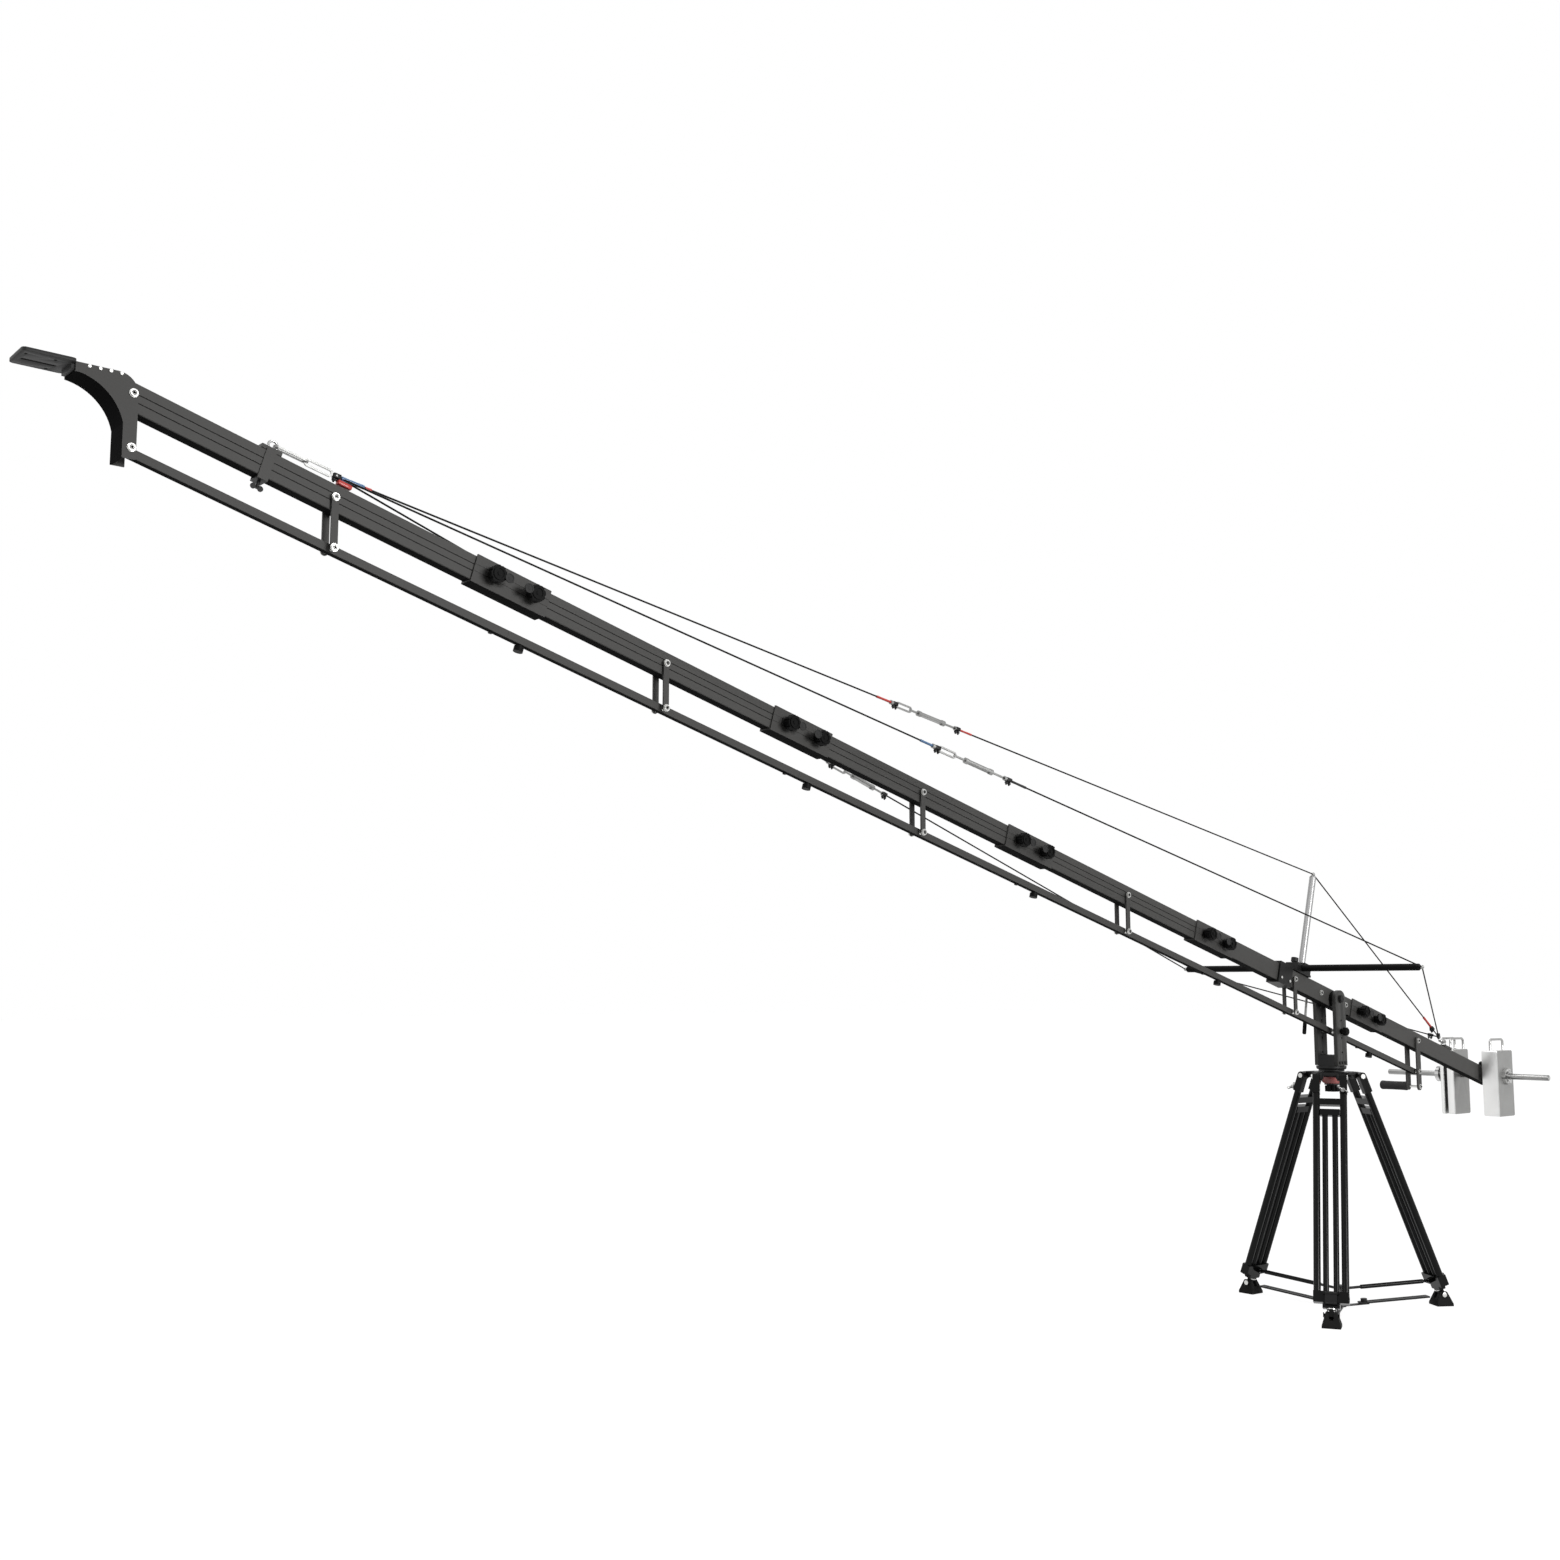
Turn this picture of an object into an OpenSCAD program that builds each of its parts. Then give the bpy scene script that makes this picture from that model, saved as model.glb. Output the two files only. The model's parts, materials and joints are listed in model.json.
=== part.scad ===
// Camera jib crane: a sectional boom on a parallel link frame, panning on a twin-tube tripod.
// The pan axis is the Z axis, the floor is Z = 0, and the boom's nose points to -X.

/* [Boom] */
// Length of one boom section
section_l = 1020; // [960:5:1100]
// Height of the boom tube
boom_h = 66; // [62:1:72]
// Width of the boom tube
boom_w = 38; // [34:1:42]
// Wall of the boom tube
boom_wall = 2.5; // [1.8:0.1:3.5]
// Corner radius of the boom tube
boom_corner = 3; // [2:0.5:5]
// Height of the boom's pivot above the floor
pivot_z = 1162; // [1140:1:1190]
// Angle of the boom above level at rest
incline = 16.1; // [8:0.1:22]
// Distance from the pivot forward to the fifth link
link_ahead = 272; // [262:1:286]
// Distance from the pivot back to the rear link
link_behind = 618; // [600:1:640]
// Distance from the first link forward to the nose bolt
nose_reach = 509; // [480:1:540]
// Distance from the pivot back to the weight bar
bar_behind = 1188; // [1150:1:1200]
// Boom left beyond the weight bar
tail_l = 38; // [30:1:60]
// Length of a section coupler
coupler_l = 228; // [210:1:250]
// Wall of a section coupler
coupler_wall = 5; // [4:0.5:6]
// Distance of a coupler's knobs from its joint
coupler_pitch = 60; // [50:1:75]
// Width of a coupler knob across its lobes
knob_d = 46; // [40:1:50]
// Length of a coupler knob
knob_l = 38; // [34:1:46]
// Width of the lengthwise grooves in the boom's sides
groove_w = 2.4; // [1.4:0.1:3]

/* [Link frame] */
// Vertical distance from the boom bolts down to the lower rod bolts
link_drop = 124; // [118:1:132]
// Width of the square lower rod
rod_w = 21; // [18:0.5:24]
// Wall of the lower rod
rod_wall = 2; // [1.5:0.1:2.5]
// Width of a link bar
link_w = 18; // [16:0.5:20]
// Width of the rear link's bars
rear_link_w = 30; // [26:0.5:32]
// Thickness of a link bar
link_t = 5.5; // [4:0.5:6.5]
// Diameter of the link bolts
link_bolt_d = 10; // [8:0.5:11]
// Drop of the rear link's handle below its top bolt
handle_drop = 184; // [170:1:200]
// Length of the foam grip
grip_l = 118; // [100:1:130]
// Diameter of the foam grip
grip_d = 36; // [30:1:40]

/* [Nose] */
// Outer width of the nose bracket
nose_w = 76; // [72:1:84]
// Plate thickness of the nose bracket
nose_t = 5; // [4:0.5:6]
// Length of the camera plate
plate_l = 114; // [110:1:124]
// Width of the camera plate
plate_w = 100; // [96:1:112]
// Thickness of the camera plate
plate_t = 8; // [6:0.5:10]
// Radius of the camera screw holes
camera_hole_r = 3.4; // [3:0.1:5]

/* [Post] */
// Clear width between the uprights
post_gap = 70; // [66:1:78]
// Thickness of an upright
upright_t = 15; // [10:1:18]
// Width of an upright
upright_w = 66; // [60:1:72]
// Diameter of the tilt axle
axle_d = 20; // [16:1:22]
// Diameter of the lower rod's pivot pin
rod_pin_d = 12; // [10:0.5:14]

/* [Stays] */
// Half length of the outrigger
outrigger_half = 514; // [480:1:540]
// Diameter of the outrigger tube
outrigger_d = 25; // [22:0.5:28]
// Distance from the pivot forward to the outrigger
outrigger_ahead = 233; // [230:1:236]
// Height of the mast top above the boom's axis
mast_top = 440; // [400:1:460]
// Diameter of the mast
mast_d = 25; // [22:0.5:27]
// Distance from the pivot forward to the front anchor
front_anchor_ahead = 4528; // [4500:1:4560]
// Distance from the pivot back to the rear anchor
rear_anchor_behind = 829; // [800:1:860]
// Diameter of the stay wires
wire_d = 5; // [4:0.5:6]

/* [Weights] */
// Width of a weight along the boom
weight_x = 130; // [120:1:140]
// Height of a weight
weight_z = 274; // [250:1:290]
// Thickness of the near weight
weight_near_t = 70; // [60:1:80]
// Thickness of the inner far weight
weight_far_t = 31; // [26:1:36]
// Thickness of the outer far weight
weight_outer_t = 16; // [12:1:20]
// Diameter of the weight bar
bar_d = 24; // [20:0.5:26]
// Length of the bar on the near side
bar_near = 292; // [280:1:310]
// Length of the bar on the far side
bar_far = 430; // [400:1:440]

/* [Tripod] */
// Height of the crown's top face
crown_z = 883; // [865:1:900]
// Radius of the leg hinges
hinge_r = 96; // [92:1:104]
// Radius of the ankle pins from the pan axis
foot_r = 409; // [395:1:425]
// Height of the ankle pins above the floor
ankle_z = 42; // [38:1:46]
// Diameter of the levelling ball
ball_d = 100; // [90:1:104]
// Diameter of the upper leg tubes
upper_d = 26; // [24:0.5:28]
// Distance between the upper leg tubes
upper_pitch = 98; // [94:1:104]
// Diameter of the lower leg tubes
lower_d = 21; // [18:0.5:22]
// Distance between the lower leg tubes
lower_pitch = 36; // [34:1:40]
// Direction of the near leg about the pan axis
near_leg_dir = 208; // [200:1:220]
// Width of a foot
foot_w = 66; // [60:1:72]
// Diameter of a spreader rod
spreader_d = 16; // [14:0.5:18]
// Length of a slotted spreader plate
slot_plate_l = 278; // [250:1:284]
// Width of a slotted spreader plate
slot_plate_w = 34; // [28:1:36]

/* [Hidden] */
$fn = 48;

// Fits and gaps
run_gap = 0.05;
slide_gap = 0.1;
seat_gap = 0.3;
part_gap = 0.2;
open_gap = 0.3;

// Stations along the boom, measured from the pivot, positive to the rear
joint_s = [for (i = [1:5]) (i - 5) * section_l - link_ahead + section_l / 2];
link_s = concat([for (i = [1:5]) (i - 5) * section_l - link_ahead], [link_behind]);
nose_s = link_s[0] - nose_reach;
nose_over = 14;
front_s = nose_s - nose_over;
rear_s = bar_behind + tail_l;
pivot_bolt_s = 86;
half_w = boom_w / 2;
half_h = boom_h / 2;
bolt_r = link_bolt_d / 2;
groove_n = [boom_h * 0.14, -boom_h * 0.14];
groove_depth = 1.1;

// Links: each bar stands a washer's thickness off the boom
washer_t = 2;
bar_in = half_w + washer_t;
bar_out = bar_in + link_t;
head_t = 6;
rod_over = 10;

// Post
up_in = post_gap / 2;
up_out = up_in + upright_t;
post_base_z = crown_z + 11;
post_block_h = 54;
upright_foot_z = post_base_z + 14;
upright_holes = [82, 149, 204];

// Stays, in the boom's frame as [along, across, up]
outrigger_n = half_h + 21;
mast_s = -(outrigger_ahead - 28);
mast_foot_n = half_h + 19;
front_pull = [170 - front_anchor_ahead, 0, half_h + 27];
rear_pull = [rear_anchor_behind - 12, 0, half_h + 35];
rear_anchor_s = rear_anchor_behind + 40;
mast_pull = [mast_s, 0, mast_top];
near_pull = [-outrigger_ahead, -outrigger_half, outrigger_n];
far_pull = [-outrigger_ahead, outrigger_half, outrigger_n];
wire_r = wire_d / 2;
eye_r = 7;
pull_r = 8;
ring_n = half_h + 23;
ring_r = 11;
ring_wire = 3.2;
ring_lean = 4;

// Weights, measured across the boom from its middle
weight_near_y = -107;
weight_far_y = 91;
weight_spacer = 15;
weight_above = 108;
bar_r = bar_d / 2;
outer_y = weight_far_y + weight_far_t + weight_spacer;

// Tripod, with the leg frame's x pointing outwards and its z up the leg
hinge_z = crown_z - 15;
leg_tilt = atan2(foot_r - hinge_r, hinge_z - ankle_z);
leg_l = norm([foot_r - hinge_r, hinge_z - ankle_z]);
leg_dirs = [near_leg_dir, near_leg_dir - 120, near_leg_dir + 120];
collar_top = -(leg_l - 81);
collar_h = 40;
collar_mid = collar_top - collar_h / 2;
collar_d = 34;
collar_w = upper_pitch + upper_d;
lug_in = upper_pitch / 2 - upper_d / 2 - 9;
lug_t = 8;
leg_pin_r = 5;
ankle_pin_r = 5;
ball_r = ball_d / 2;
ball_z = crown_z - 3;
spigot_r = 16;
stem_r = 6;
stem_l = 21;
// Spreader pin on the collar's inner side, in the leg frame
spread_x = -collar_d / 2 - 9;
spread_z = collar_mid + 2;
spread_r = hinge_r + spread_x * cos(leg_tilt) - spread_z * sin(leg_tilt);
spread_h = hinge_z + spread_x * sin(leg_tilt) + spread_z * cos(leg_tilt);
spread_pin_r = 4;
hub_arm_z = 70;
hub_plate_z = 9;
spread_slope = atan2(spread_h - hub_arm_z, spread_r);
spread_len = norm([spread_r, spread_h - hub_arm_z]);
hub_arm_r = 5;
hub_arm_l = 205;
// How far the spreader rods run down the hub's arms as the legs fold
spread_travel = 62;
rod_start = 85;
plate_start = 78;
plate_thick = 6;

function bx(s) = s * cos(incline);
function bz(s) = pivot_z - s * sin(incline);
function mix3(a, b, d) = a + (b - a) * d / norm(b - a);

// Frames that the pieces are placed in
module at_boom(s = 0, n = 0, y = 0) {
  translate([0, 0, pivot_z]) rotate([0, incline, 0]) translate([s, y, n]) children();
}
module at_rod(s = 0, n = 0, y = 0) {
  translate([0, 0, pivot_z - link_drop]) rotate([0, incline, 0]) translate([s, y, n]) children();
}
module at_bolt(s) { translate([bx(s), 0, bz(s)]) children(); }
module at_leg(dir) {
  rotate([0, 0, dir]) translate([hinge_r, 0, hinge_z]) rotate([0, -leg_tilt, 0]) children();
}
module at_arm(dir, z) { rotate([0, 0, dir]) translate([0, 0, z]) rotate([0, -spread_slope, 0]) children(); }

// Plain forms along one axis
module ycyl(r, y0, y1) { translate([0, y0, 0]) rotate([-90, 0, 0]) cylinder(r = r, h = y1 - y0); }
module xcyl(r, x0, x1) { translate([x0, 0, 0]) rotate([0, 90, 0]) cylinder(r = r, h = x1 - x0); }
module span(x0, x1, y0, y1, z0, z1) { translate([x0, y0, z0]) cube([x1 - x0, y1 - y0, z1 - z0]); }
module strut(a, b, r) {
  v = b - a;
  translate(a) rotate([0, acos(v[2] / norm(v)), atan2(v[1], v[0])]) cylinder(r = r, h = norm(v));
}
// A round rod along a path in X and Z, with a torus arc at each bend
function heading(p, i) = atan2(p[i + 1][1] - p[i][1], p[i + 1][0] - p[i][0]);
function wrapped(a) = a > 180 ? a - 360 : a < -180 ? a + 360 : a;
function turn_at(p, i) = i == 0 || i == len(p) - 1 ? 0 : wrapped(heading(p, i) - heading(p, i - 1));
module bent_rod(p, r, bend) {
  cut = [for (i = [0:len(p) - 1]) bend * tan(abs(turn_at(p, i)) / 2)];
  for (i = [0:len(p) - 2]) translate([p[i][0], 0, p[i][1]]) rotate([0, -heading(p, i), 0])
    xcyl(r, cut[i], norm(p[i + 1] - p[i]) - cut[i + 1]);
  for (i = [1:len(p) - 2]) translate([p[i][0], 0, p[i][1]]) rotate([0, -heading(p, i - 1), 0])
    translate([-cut[i], 0, 0]) mirror([0, 0, turn_at(p, i) < 0 ? 1 : 0]) translate([0, 0, bend])
      rotate([90, 0, 0]) rotate([0, 0, -90]) rotate_extrude(angle = abs(turn_at(p, i)))
        translate([bend, 0]) circle(r, $fn = 24);
}
module rounded(w, h, r) {
  square([w - 2 * r, h], center = true);
  square([w, h - 2 * r], center = true);
  for (i = [-1, 1], j = [-1, 1]) translate([i * (w / 2 - r), j * (h / 2 - r)]) circle(r);
}
// A profile drawn in Y and Z, run along X
module run_x(x0, x1) { translate([x0, 0, 0]) rotate([90, 0, 90]) linear_extrude(x1 - x0) children(); }
// A profile drawn in X and Z, run along Y
module run_y(y0, y1) { translate([0, y1, 0]) rotate([90, 0, 0]) linear_extrude(y1 - y0) children(); }
module hexagon_head(r, y0, y1) {
  translate([0, y0, 0]) rotate([-90, 0, 0]) cylinder(r = r, h = y1 - y0, $fn = 6);
}
module bolt_heads(r, y) {
  // A washer and a round socket head on each side
  for (m = [0, 1]) mirror([0, m, 0]) {
    ycyl(r * 2, y + seat_gap / 3, y + washer_t);
    difference() {
      ycyl(r * 1.7, y + washer_t, y + head_t);
      hexagon_head(r * 0.72, y + washer_t + 1, y + head_t + 1);
    }
  }
}
module ring_y(r_out, r_in, y0, y1) {
  difference() { ycyl(r_out, y0, y1); ycyl(r_in, y0 - 1, y1 + 1); }
}

// Boom
module boom_profile(grooved) {
  difference() {
    rounded(boom_w, boom_h, boom_corner);
    rounded(boom_w - 2 * boom_wall, boom_h - 2 * boom_wall, max(boom_corner - boom_wall, 0.5));
    if (grooved) for (m = [-1, 1], n = groove_n)
      translate([m * half_w, n]) square([2 * groove_depth, groove_w], center = true);
  }
}
module boom_bores(a, b) {
  for (s = concat([nose_s], link_s, [-pivot_bolt_s, pivot_bolt_s])) if (s > a && s < b)
    translate([s, 0, 0]) ycyl(bolt_r + run_gap, -half_w - 1, half_w + 1);
  for (j = joint_s, k = [-1, 1]) if (j + k * coupler_pitch > a && j + k * coupler_pitch < b)
    translate([j + k * coupler_pitch, 0, 0]) ycyl(bolt_r + part_gap, -half_w - 1, half_w + 1);
  if (a < 0 && b > 0) ycyl(axle_d / 2 + part_gap, -half_w - 1, half_w + 1);
  if (b > bar_behind) translate([bar_behind, 0, 0]) {
    ycyl(bar_r + part_gap, -half_w - 1, half_w + 1);
    translate([0, 0, half_h - boom_wall - 1]) cylinder(r = bolt_r, h = boom_wall + 2);
  }
}
module boom_section(i) {
  a = i == 1 ? front_s : joint_s[i - 2] + part_gap;
  b = i == 6 ? rear_s : joint_s[i - 1] - part_gap;
  color("dimgray") at_boom() difference() {
    run_x(a, b) boom_profile(i < 5);
    boom_bores(a, b);
  }
}
module section_couplers() {
  top = half_h + 4;
  low = -half_h - part_gap - coupler_wall;
  side = half_w + part_gap;
  color("dimgray") for (j = joint_s) at_boom(j) difference() {
    run_x(-coupler_l / 2, coupler_l / 2) {
      for (m = [0, 1]) mirror([m, 0]) translate([side, low]) square([coupler_wall, top - low]);
      translate([-side - 0.01, low]) square([2 * side + 0.02, coupler_wall]);
    }
    for (m = [-1, 1], n = groove_n) translate([0, m * (side + coupler_wall), n])
      span(-coupler_l / 2 - 1, coupler_l / 2 + 1, -groove_depth, groove_depth, -groove_w / 2, groove_w / 2);
    for (k = [-1, 1]) translate([k * coupler_pitch, 0, 0])
      ycyl(bolt_r + part_gap, -side - coupler_wall - 1, side + coupler_wall + 1);
  }
}
module fluted_knob(d, l) {
  // Round fluted grip along -Y, on a narrower neck, with a raised face and a dish around its middle
  flute = d * 0.1;
  back = l * 0.42;
  difference() {
    union() {
      run_y(3 - l, -back) difference() {
        circle(d / 2);
        for (a = [0:45:315]) rotate(a) translate([d / 2 + flute * 0.5, 0]) circle(flute);
      }
      ycyl(d * 0.37, -l, 3.01 - l);
      ycyl(d * 0.3, -back - 0.01, 0);
    }
    ring_y(d * 0.28, d * 0.12, -l - 1, 2 - l);
  }
}
module coupler_knobs() {
  face = half_w + part_gap + coupler_wall;
  for (j = joint_s, k = [-1, 1]) at_boom(j + k * coupler_pitch) {
    color("black") translate([0, -face - part_gap, 0]) fluted_knob(knob_d, knob_l);
    color("silver") ycyl(bolt_r, -face - part_gap, face + part_gap);
    color("silver") hexagon_head(bolt_r * 1.6, face + part_gap, face + head_t);
  }
}
module link_bolts() {
  // The bolts that each pivot runs on, fixed in the boom
  color("silver") {
    for (s = link_s) at_boom(s) {
      ycyl(bolt_r, -bar_out - washer_t, bar_out + washer_t);
      for (m = [0, 1]) mirror([0, m, 0]) ring_y(bolt_r * 1.7, bolt_r - 0.01, half_w, bar_in - slide_gap);
      bolt_heads(bolt_r, bar_out);
    }
    at_boom(nose_s) {
      ycyl(bolt_r, -nose_w / 2 - washer_t, nose_w / 2 + washer_t);
      for (m = [0, 1]) mirror([0, m, 0])
        ring_y(bolt_r * 1.7, bolt_r - 0.01, half_w, nose_w / 2 - nose_t - slide_gap);
      bolt_heads(bolt_r, nose_w / 2);
    }
    for (k = [-1, 1]) at_boom(k * pivot_bolt_s) {
      ycyl(bolt_r, -half_w - washer_t, half_w + washer_t);
      bolt_heads(bolt_r, half_w);
    }
  }
}
module pivot_bearings() {
  color("black") for (m = [0, 1]) mirror([0, m, 0]) at_boom()
    ring_y(half_h - 3, axle_d / 2 + run_gap, half_w + 0.01, up_in - seat_gap);
}

// Link frame
module lower_rod() {
  ends = [for (i = [0:6]) i == 0 ? nose_s - rod_over : i == 6 ? link_s[5] + rod_over : joint_s[i - 1]];
  inner = rod_w - 2 * rod_wall;
  color("dimgray") for (i = [0:5]) at_rod() difference() {
    run_x(ends[i] + (i == 0 ? 0 : part_gap), ends[i + 1] - (i == 5 ? 0 : part_gap)) difference() {
      rounded(rod_w, rod_w, 1.5);
      rounded(inner, inner, 0.6);
    }
    for (s = concat([nose_s], link_s)) translate([s, 0, 0])
      ycyl(bolt_r + open_gap, -rod_w, rod_w);
    ycyl(rod_pin_d / 2 + run_gap, -rod_w, rod_w);
    for (j = joint_s, k = [-1, 1]) translate([j + k * 45, 0, -rod_w])
      cylinder(r = 3 + part_gap, h = rod_w);
  }
  color("gray") for (j = joint_s) at_rod(j) difference() {
    run_x(-75, 75) rounded(inner - slide_gap, inner - slide_gap, 0.6);
    for (k = [-1, 1]) translate([k * 45, 0, -rod_w]) cylinder(r = 3 + part_gap, h = rod_w - 2);
  }
}
module rod_thumbscrews() {
  under = -rod_w / 2 - part_gap;
  for (j = joint_s) {
    at_rod(j + 45) {
      color("silver") translate([0, 0, under - 4]) cylinder(r = 3, h = 8);
      color("black") translate([0, 0, under - 18]) {
        cylinder(r = 13, h = 14);
        translate([0, 0, 14]) cylinder(r = 8, h = 4);
      }
    }
    at_rod(j - 45) color("silver") {
      translate([0, 0, under - 3]) cylinder(r = 3, h = 8);
      translate([0, 0, under - 5]) cylinder(r = 5.5, h = 5);
    }
  }
}
module link_bar(drop, wide) {
  difference() {
    run_y(bar_in, bar_out) {
      translate([-wide / 2, -drop]) square([wide, drop]);
      circle(wide / 2);
      translate([0, -drop]) circle(wide / 2);
    }
    ycyl(bolt_r + run_gap, bar_in - 1, bar_out + 1);
    translate([0, 0, -link_drop]) ycyl(bolt_r, bar_in - 1, bar_out + 1);
    if (drop > link_drop) translate([0, 0, -drop]) ycyl(bolt_r, bar_in - 1, bar_out + 1);
  }
}
module rod_bolt(y_in, y_out) {
  // Bolt through the lower rod, with a spacer on each side of it
  color("silver") translate([0, 0, -link_drop]) {
    ycyl(bolt_r - 0.01, -y_out - washer_t, y_out + washer_t);
    for (m = [0, 1]) mirror([0, m, 0])
      ring_y(bolt_r * 1.5, bolt_r - 0.02, rod_w / 2 + open_gap, y_in - 0.01);
    bolt_heads(bolt_r, y_out);
  }
}
module link(i) {
  drop = i == 6 ? handle_drop : link_drop;
  wide = i == 6 ? rear_link_w : link_w;
  at_bolt(link_s[i - 1]) {
    color("dimgray") for (m = [0, 1]) mirror([0, m, 0]) link_bar(drop, wide);
    rod_bolt(bar_in, bar_out);
    if (i == 6) color("silver") translate([0, 0, -handle_drop]) {
      ycyl(bolt_r - 0.01, -bar_out - washer_t, bar_out + seat_gap + grip_l - 6);
      ycyl(bolt_r * 2, -bar_out - washer_t, -bar_out - seat_gap / 3);
      hexagon_head(bolt_r * 1.6, -bar_out - head_t, -bar_out - washer_t);
    }
  }
}
module rear_grip() {
  color("black") at_bolt(link_s[5]) translate([0, 0, -handle_drop]) {
    y0 = bar_out + seat_gap;
    difference() {
      union() {
        ycyl(grip_d / 2, y0 + 3, y0 + grip_l - 3);
        ycyl(grip_d / 2 - 3, y0, y0 + grip_l);
      }
      ycyl(bolt_r, y0 - 1, y0 + grip_l - 4);
    }
  }
}

// Nose, in an upright frame at the nose bolt
nose_curve = [-140, -100];
nose_curve_r = 123;
nose_back_r = 45;
nose_back = [-34, -2];
nose_leg_x = -20;
nose_foot = -link_drop - 25;
nose_top = 43;
nose_arm_x = -126;
nose_root_x = -38;
web_t = 4;
function arc(c, r, a0, a1, n) =
  [for (i = [0:n]) c + r * [cos(a0 + (a1 - a0) * i / n), sin(a0 + (a1 - a0) * i / n)]];
// The inner curve starts on the leg's front edge and ends under the arm
function inner_curve(extra) = arc(nose_curve, nose_curve_r + extra,
  acos((nose_leg_x - nose_curve[0]) / nose_curve_r), acos((nose_arm_x - nose_curve[0]) / nose_curve_r), 14);
module nose_side() {
  polygon(concat(
    [[nose_leg_x, nose_foot]],
    inner_curve(0),
    [[nose_arm_x, nose_top]],
    arc(nose_back, nose_back_r, 90, 0, 10),
    [[nose_back[0] + nose_back_r, nose_foot]]));
}
module nose_web() {
  outer = inner_curve(web_t);
  polygon(concat(
    [[nose_leg_x, nose_foot]],
    inner_curve(0),
    [for (i = [len(outer) - 1:-1:0]) outer[i]],
    [[nose_leg_x + web_t, outer[0][1]], [nose_leg_x + web_t, nose_foot]]));
}
module nose_bracket() {
  side = nose_w / 2;
  at_bolt(nose_s) {
    color("dimgray") difference() {
      union() {
        for (m = [0, 1]) mirror([0, m, 0]) run_y(side - nose_t, side) nose_side();
        run_y(-side + nose_t, side - nose_t) nose_web();
      }
      ycyl(bolt_r + run_gap, -side - 1, side + 1);
      translate([0, 0, -link_drop]) ycyl(bolt_r, -side - 1, side + 1);
    }
    rod_bolt(side - nose_t, side);
    // Screws that hold the camera plate's root between the side plates
    color("silver") for (x = [-97:23:-28], m = [0, 1]) mirror([0, m, 0]) translate([x, 0, nose_top - 4.6])
      ycyl(3.8, side, side + 2.5);
  }
}
plate_x0 = nose_arm_x - seat_gap;
camera_slot_x = [-97, -31];
camera_slot_y = 8;
camera_holes = [[-100, -28], [-39, -28], [-39, 38]];
module camera_plate() {
  root = nose_w / 2 - nose_t - part_gap;
  low = nose_top - 5;
  color("dimgray") at_bolt(nose_s) difference() {
    union() {
      translate([plate_x0 - plate_l / 2, 0, low]) linear_extrude(plate_t) rounded(plate_l, plate_w, 10);
      span(plate_x0 - 1, nose_root_x, -root, root, low - 11, nose_top);
      span(plate_x0 - 8, plate_x0, -root, root, low - 11, low + 1);
    }
    // Camera slot and screw holes
    for (x = camera_slot_x) translate([plate_x0 + x, camera_slot_y, low - 1]) cylinder(r = 4, h = plate_t + 2);
    span(plate_x0 + camera_slot_x[0], plate_x0 + camera_slot_x[1], camera_slot_y - 4, camera_slot_y + 4,
      low - 1, low + plate_t + 1);
    for (p = camera_holes) translate([plate_x0 + p[0], p[1], low - 1])
      cylinder(r = camera_hole_r, h = plate_t + 2);
  }
}

// Post
module pan_base() {
  plate_r = 56;
  block = up_in - part_gap;
  color("black") difference() {
    translate([0, 0, post_base_z]) {
      cylinder(r1 = plate_r - 3, r2 = plate_r, h = 4);
      translate([0, 0, 4]) cylinder(r = plate_r, h = 8);
      span(-upright_w / 2, upright_w / 2, -block, block, 11, post_block_h);
    }
    translate([0, 0, post_base_z - 1]) cylinder(r = spigot_r + run_gap, h = 13);
  }
  color("silver") for (m = [0, 1], x = [-18, 0, 18]) mirror([0, m, 0])
    translate([x, 0, upright_foot_z + 11]) {
      ycyl(3.5, block - 12, up_out + 0.5);
      ycyl(5.5, up_out + seat_gap / 3, up_out + 3);
    }
}
module upright(m) {
  height = pivot_z - upright_foot_z;
  color("gray") mirror([0, m, 0]) difference() {
    translate([0, 0, pivot_z]) run_y(up_in, up_out) {
      circle(upright_w / 2);
      translate([-upright_w / 2, -height]) square([upright_w, height]);
    }
    translate([0, 0, pivot_z]) ycyl(axle_d / 2 + run_gap, up_in - 1, up_out + 1);
    translate([0, 0, pivot_z - link_drop]) ycyl(rod_pin_d / 2 + run_gap, up_in - 1, up_out + 1);
    for (z = upright_holes) translate([0, 0, pivot_z - z]) ycyl(4, up_in - 1, up_out + 1);
    for (x = [-18, 0, 18]) translate([x, 0, upright_foot_z + 11]) ycyl(3.7, up_in - 1, up_out + 1);
  }
}
module tilt_axle() {
  // The tilt axle and, below it, the lower rod's pivot pin with its spacers
  color("silver") {
    translate([0, 0, pivot_z]) ycyl(axle_d / 2, -up_out - 2, up_out + 13);
    translate([0, 0, pivot_z - link_drop]) {
      ycyl(rod_pin_d / 2, -up_out - 2, up_out + washer_t);
      for (m = [0, 1]) mirror([0, m, 0])
        ring_y(rod_pin_d / 2 + 4, rod_pin_d / 2 - 0.01, rod_w / 2 + open_gap, up_in - seat_gap);
      hexagon_head(rod_pin_d * 0.8, up_out + washer_t, up_out + washer_t + 6);
    }
  }
  color("black") translate([0, 0, pivot_z]) {
    ycyl(axle_d / 2 + 5, -up_out - 6, -up_out - seat_gap);
    hexagon_head(axle_d / 2 + 2, -up_out - 9, -up_out - 5.9);
  }
}
module rod_pivot_knob() {
  color("black") translate([0, -up_out - seat_gap, pivot_z - link_drop]) difference() {
    fluted_knob(32, 27);
    ycyl(rod_pin_d / 2 + run_gap, -3, 1);
  }
}
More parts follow.
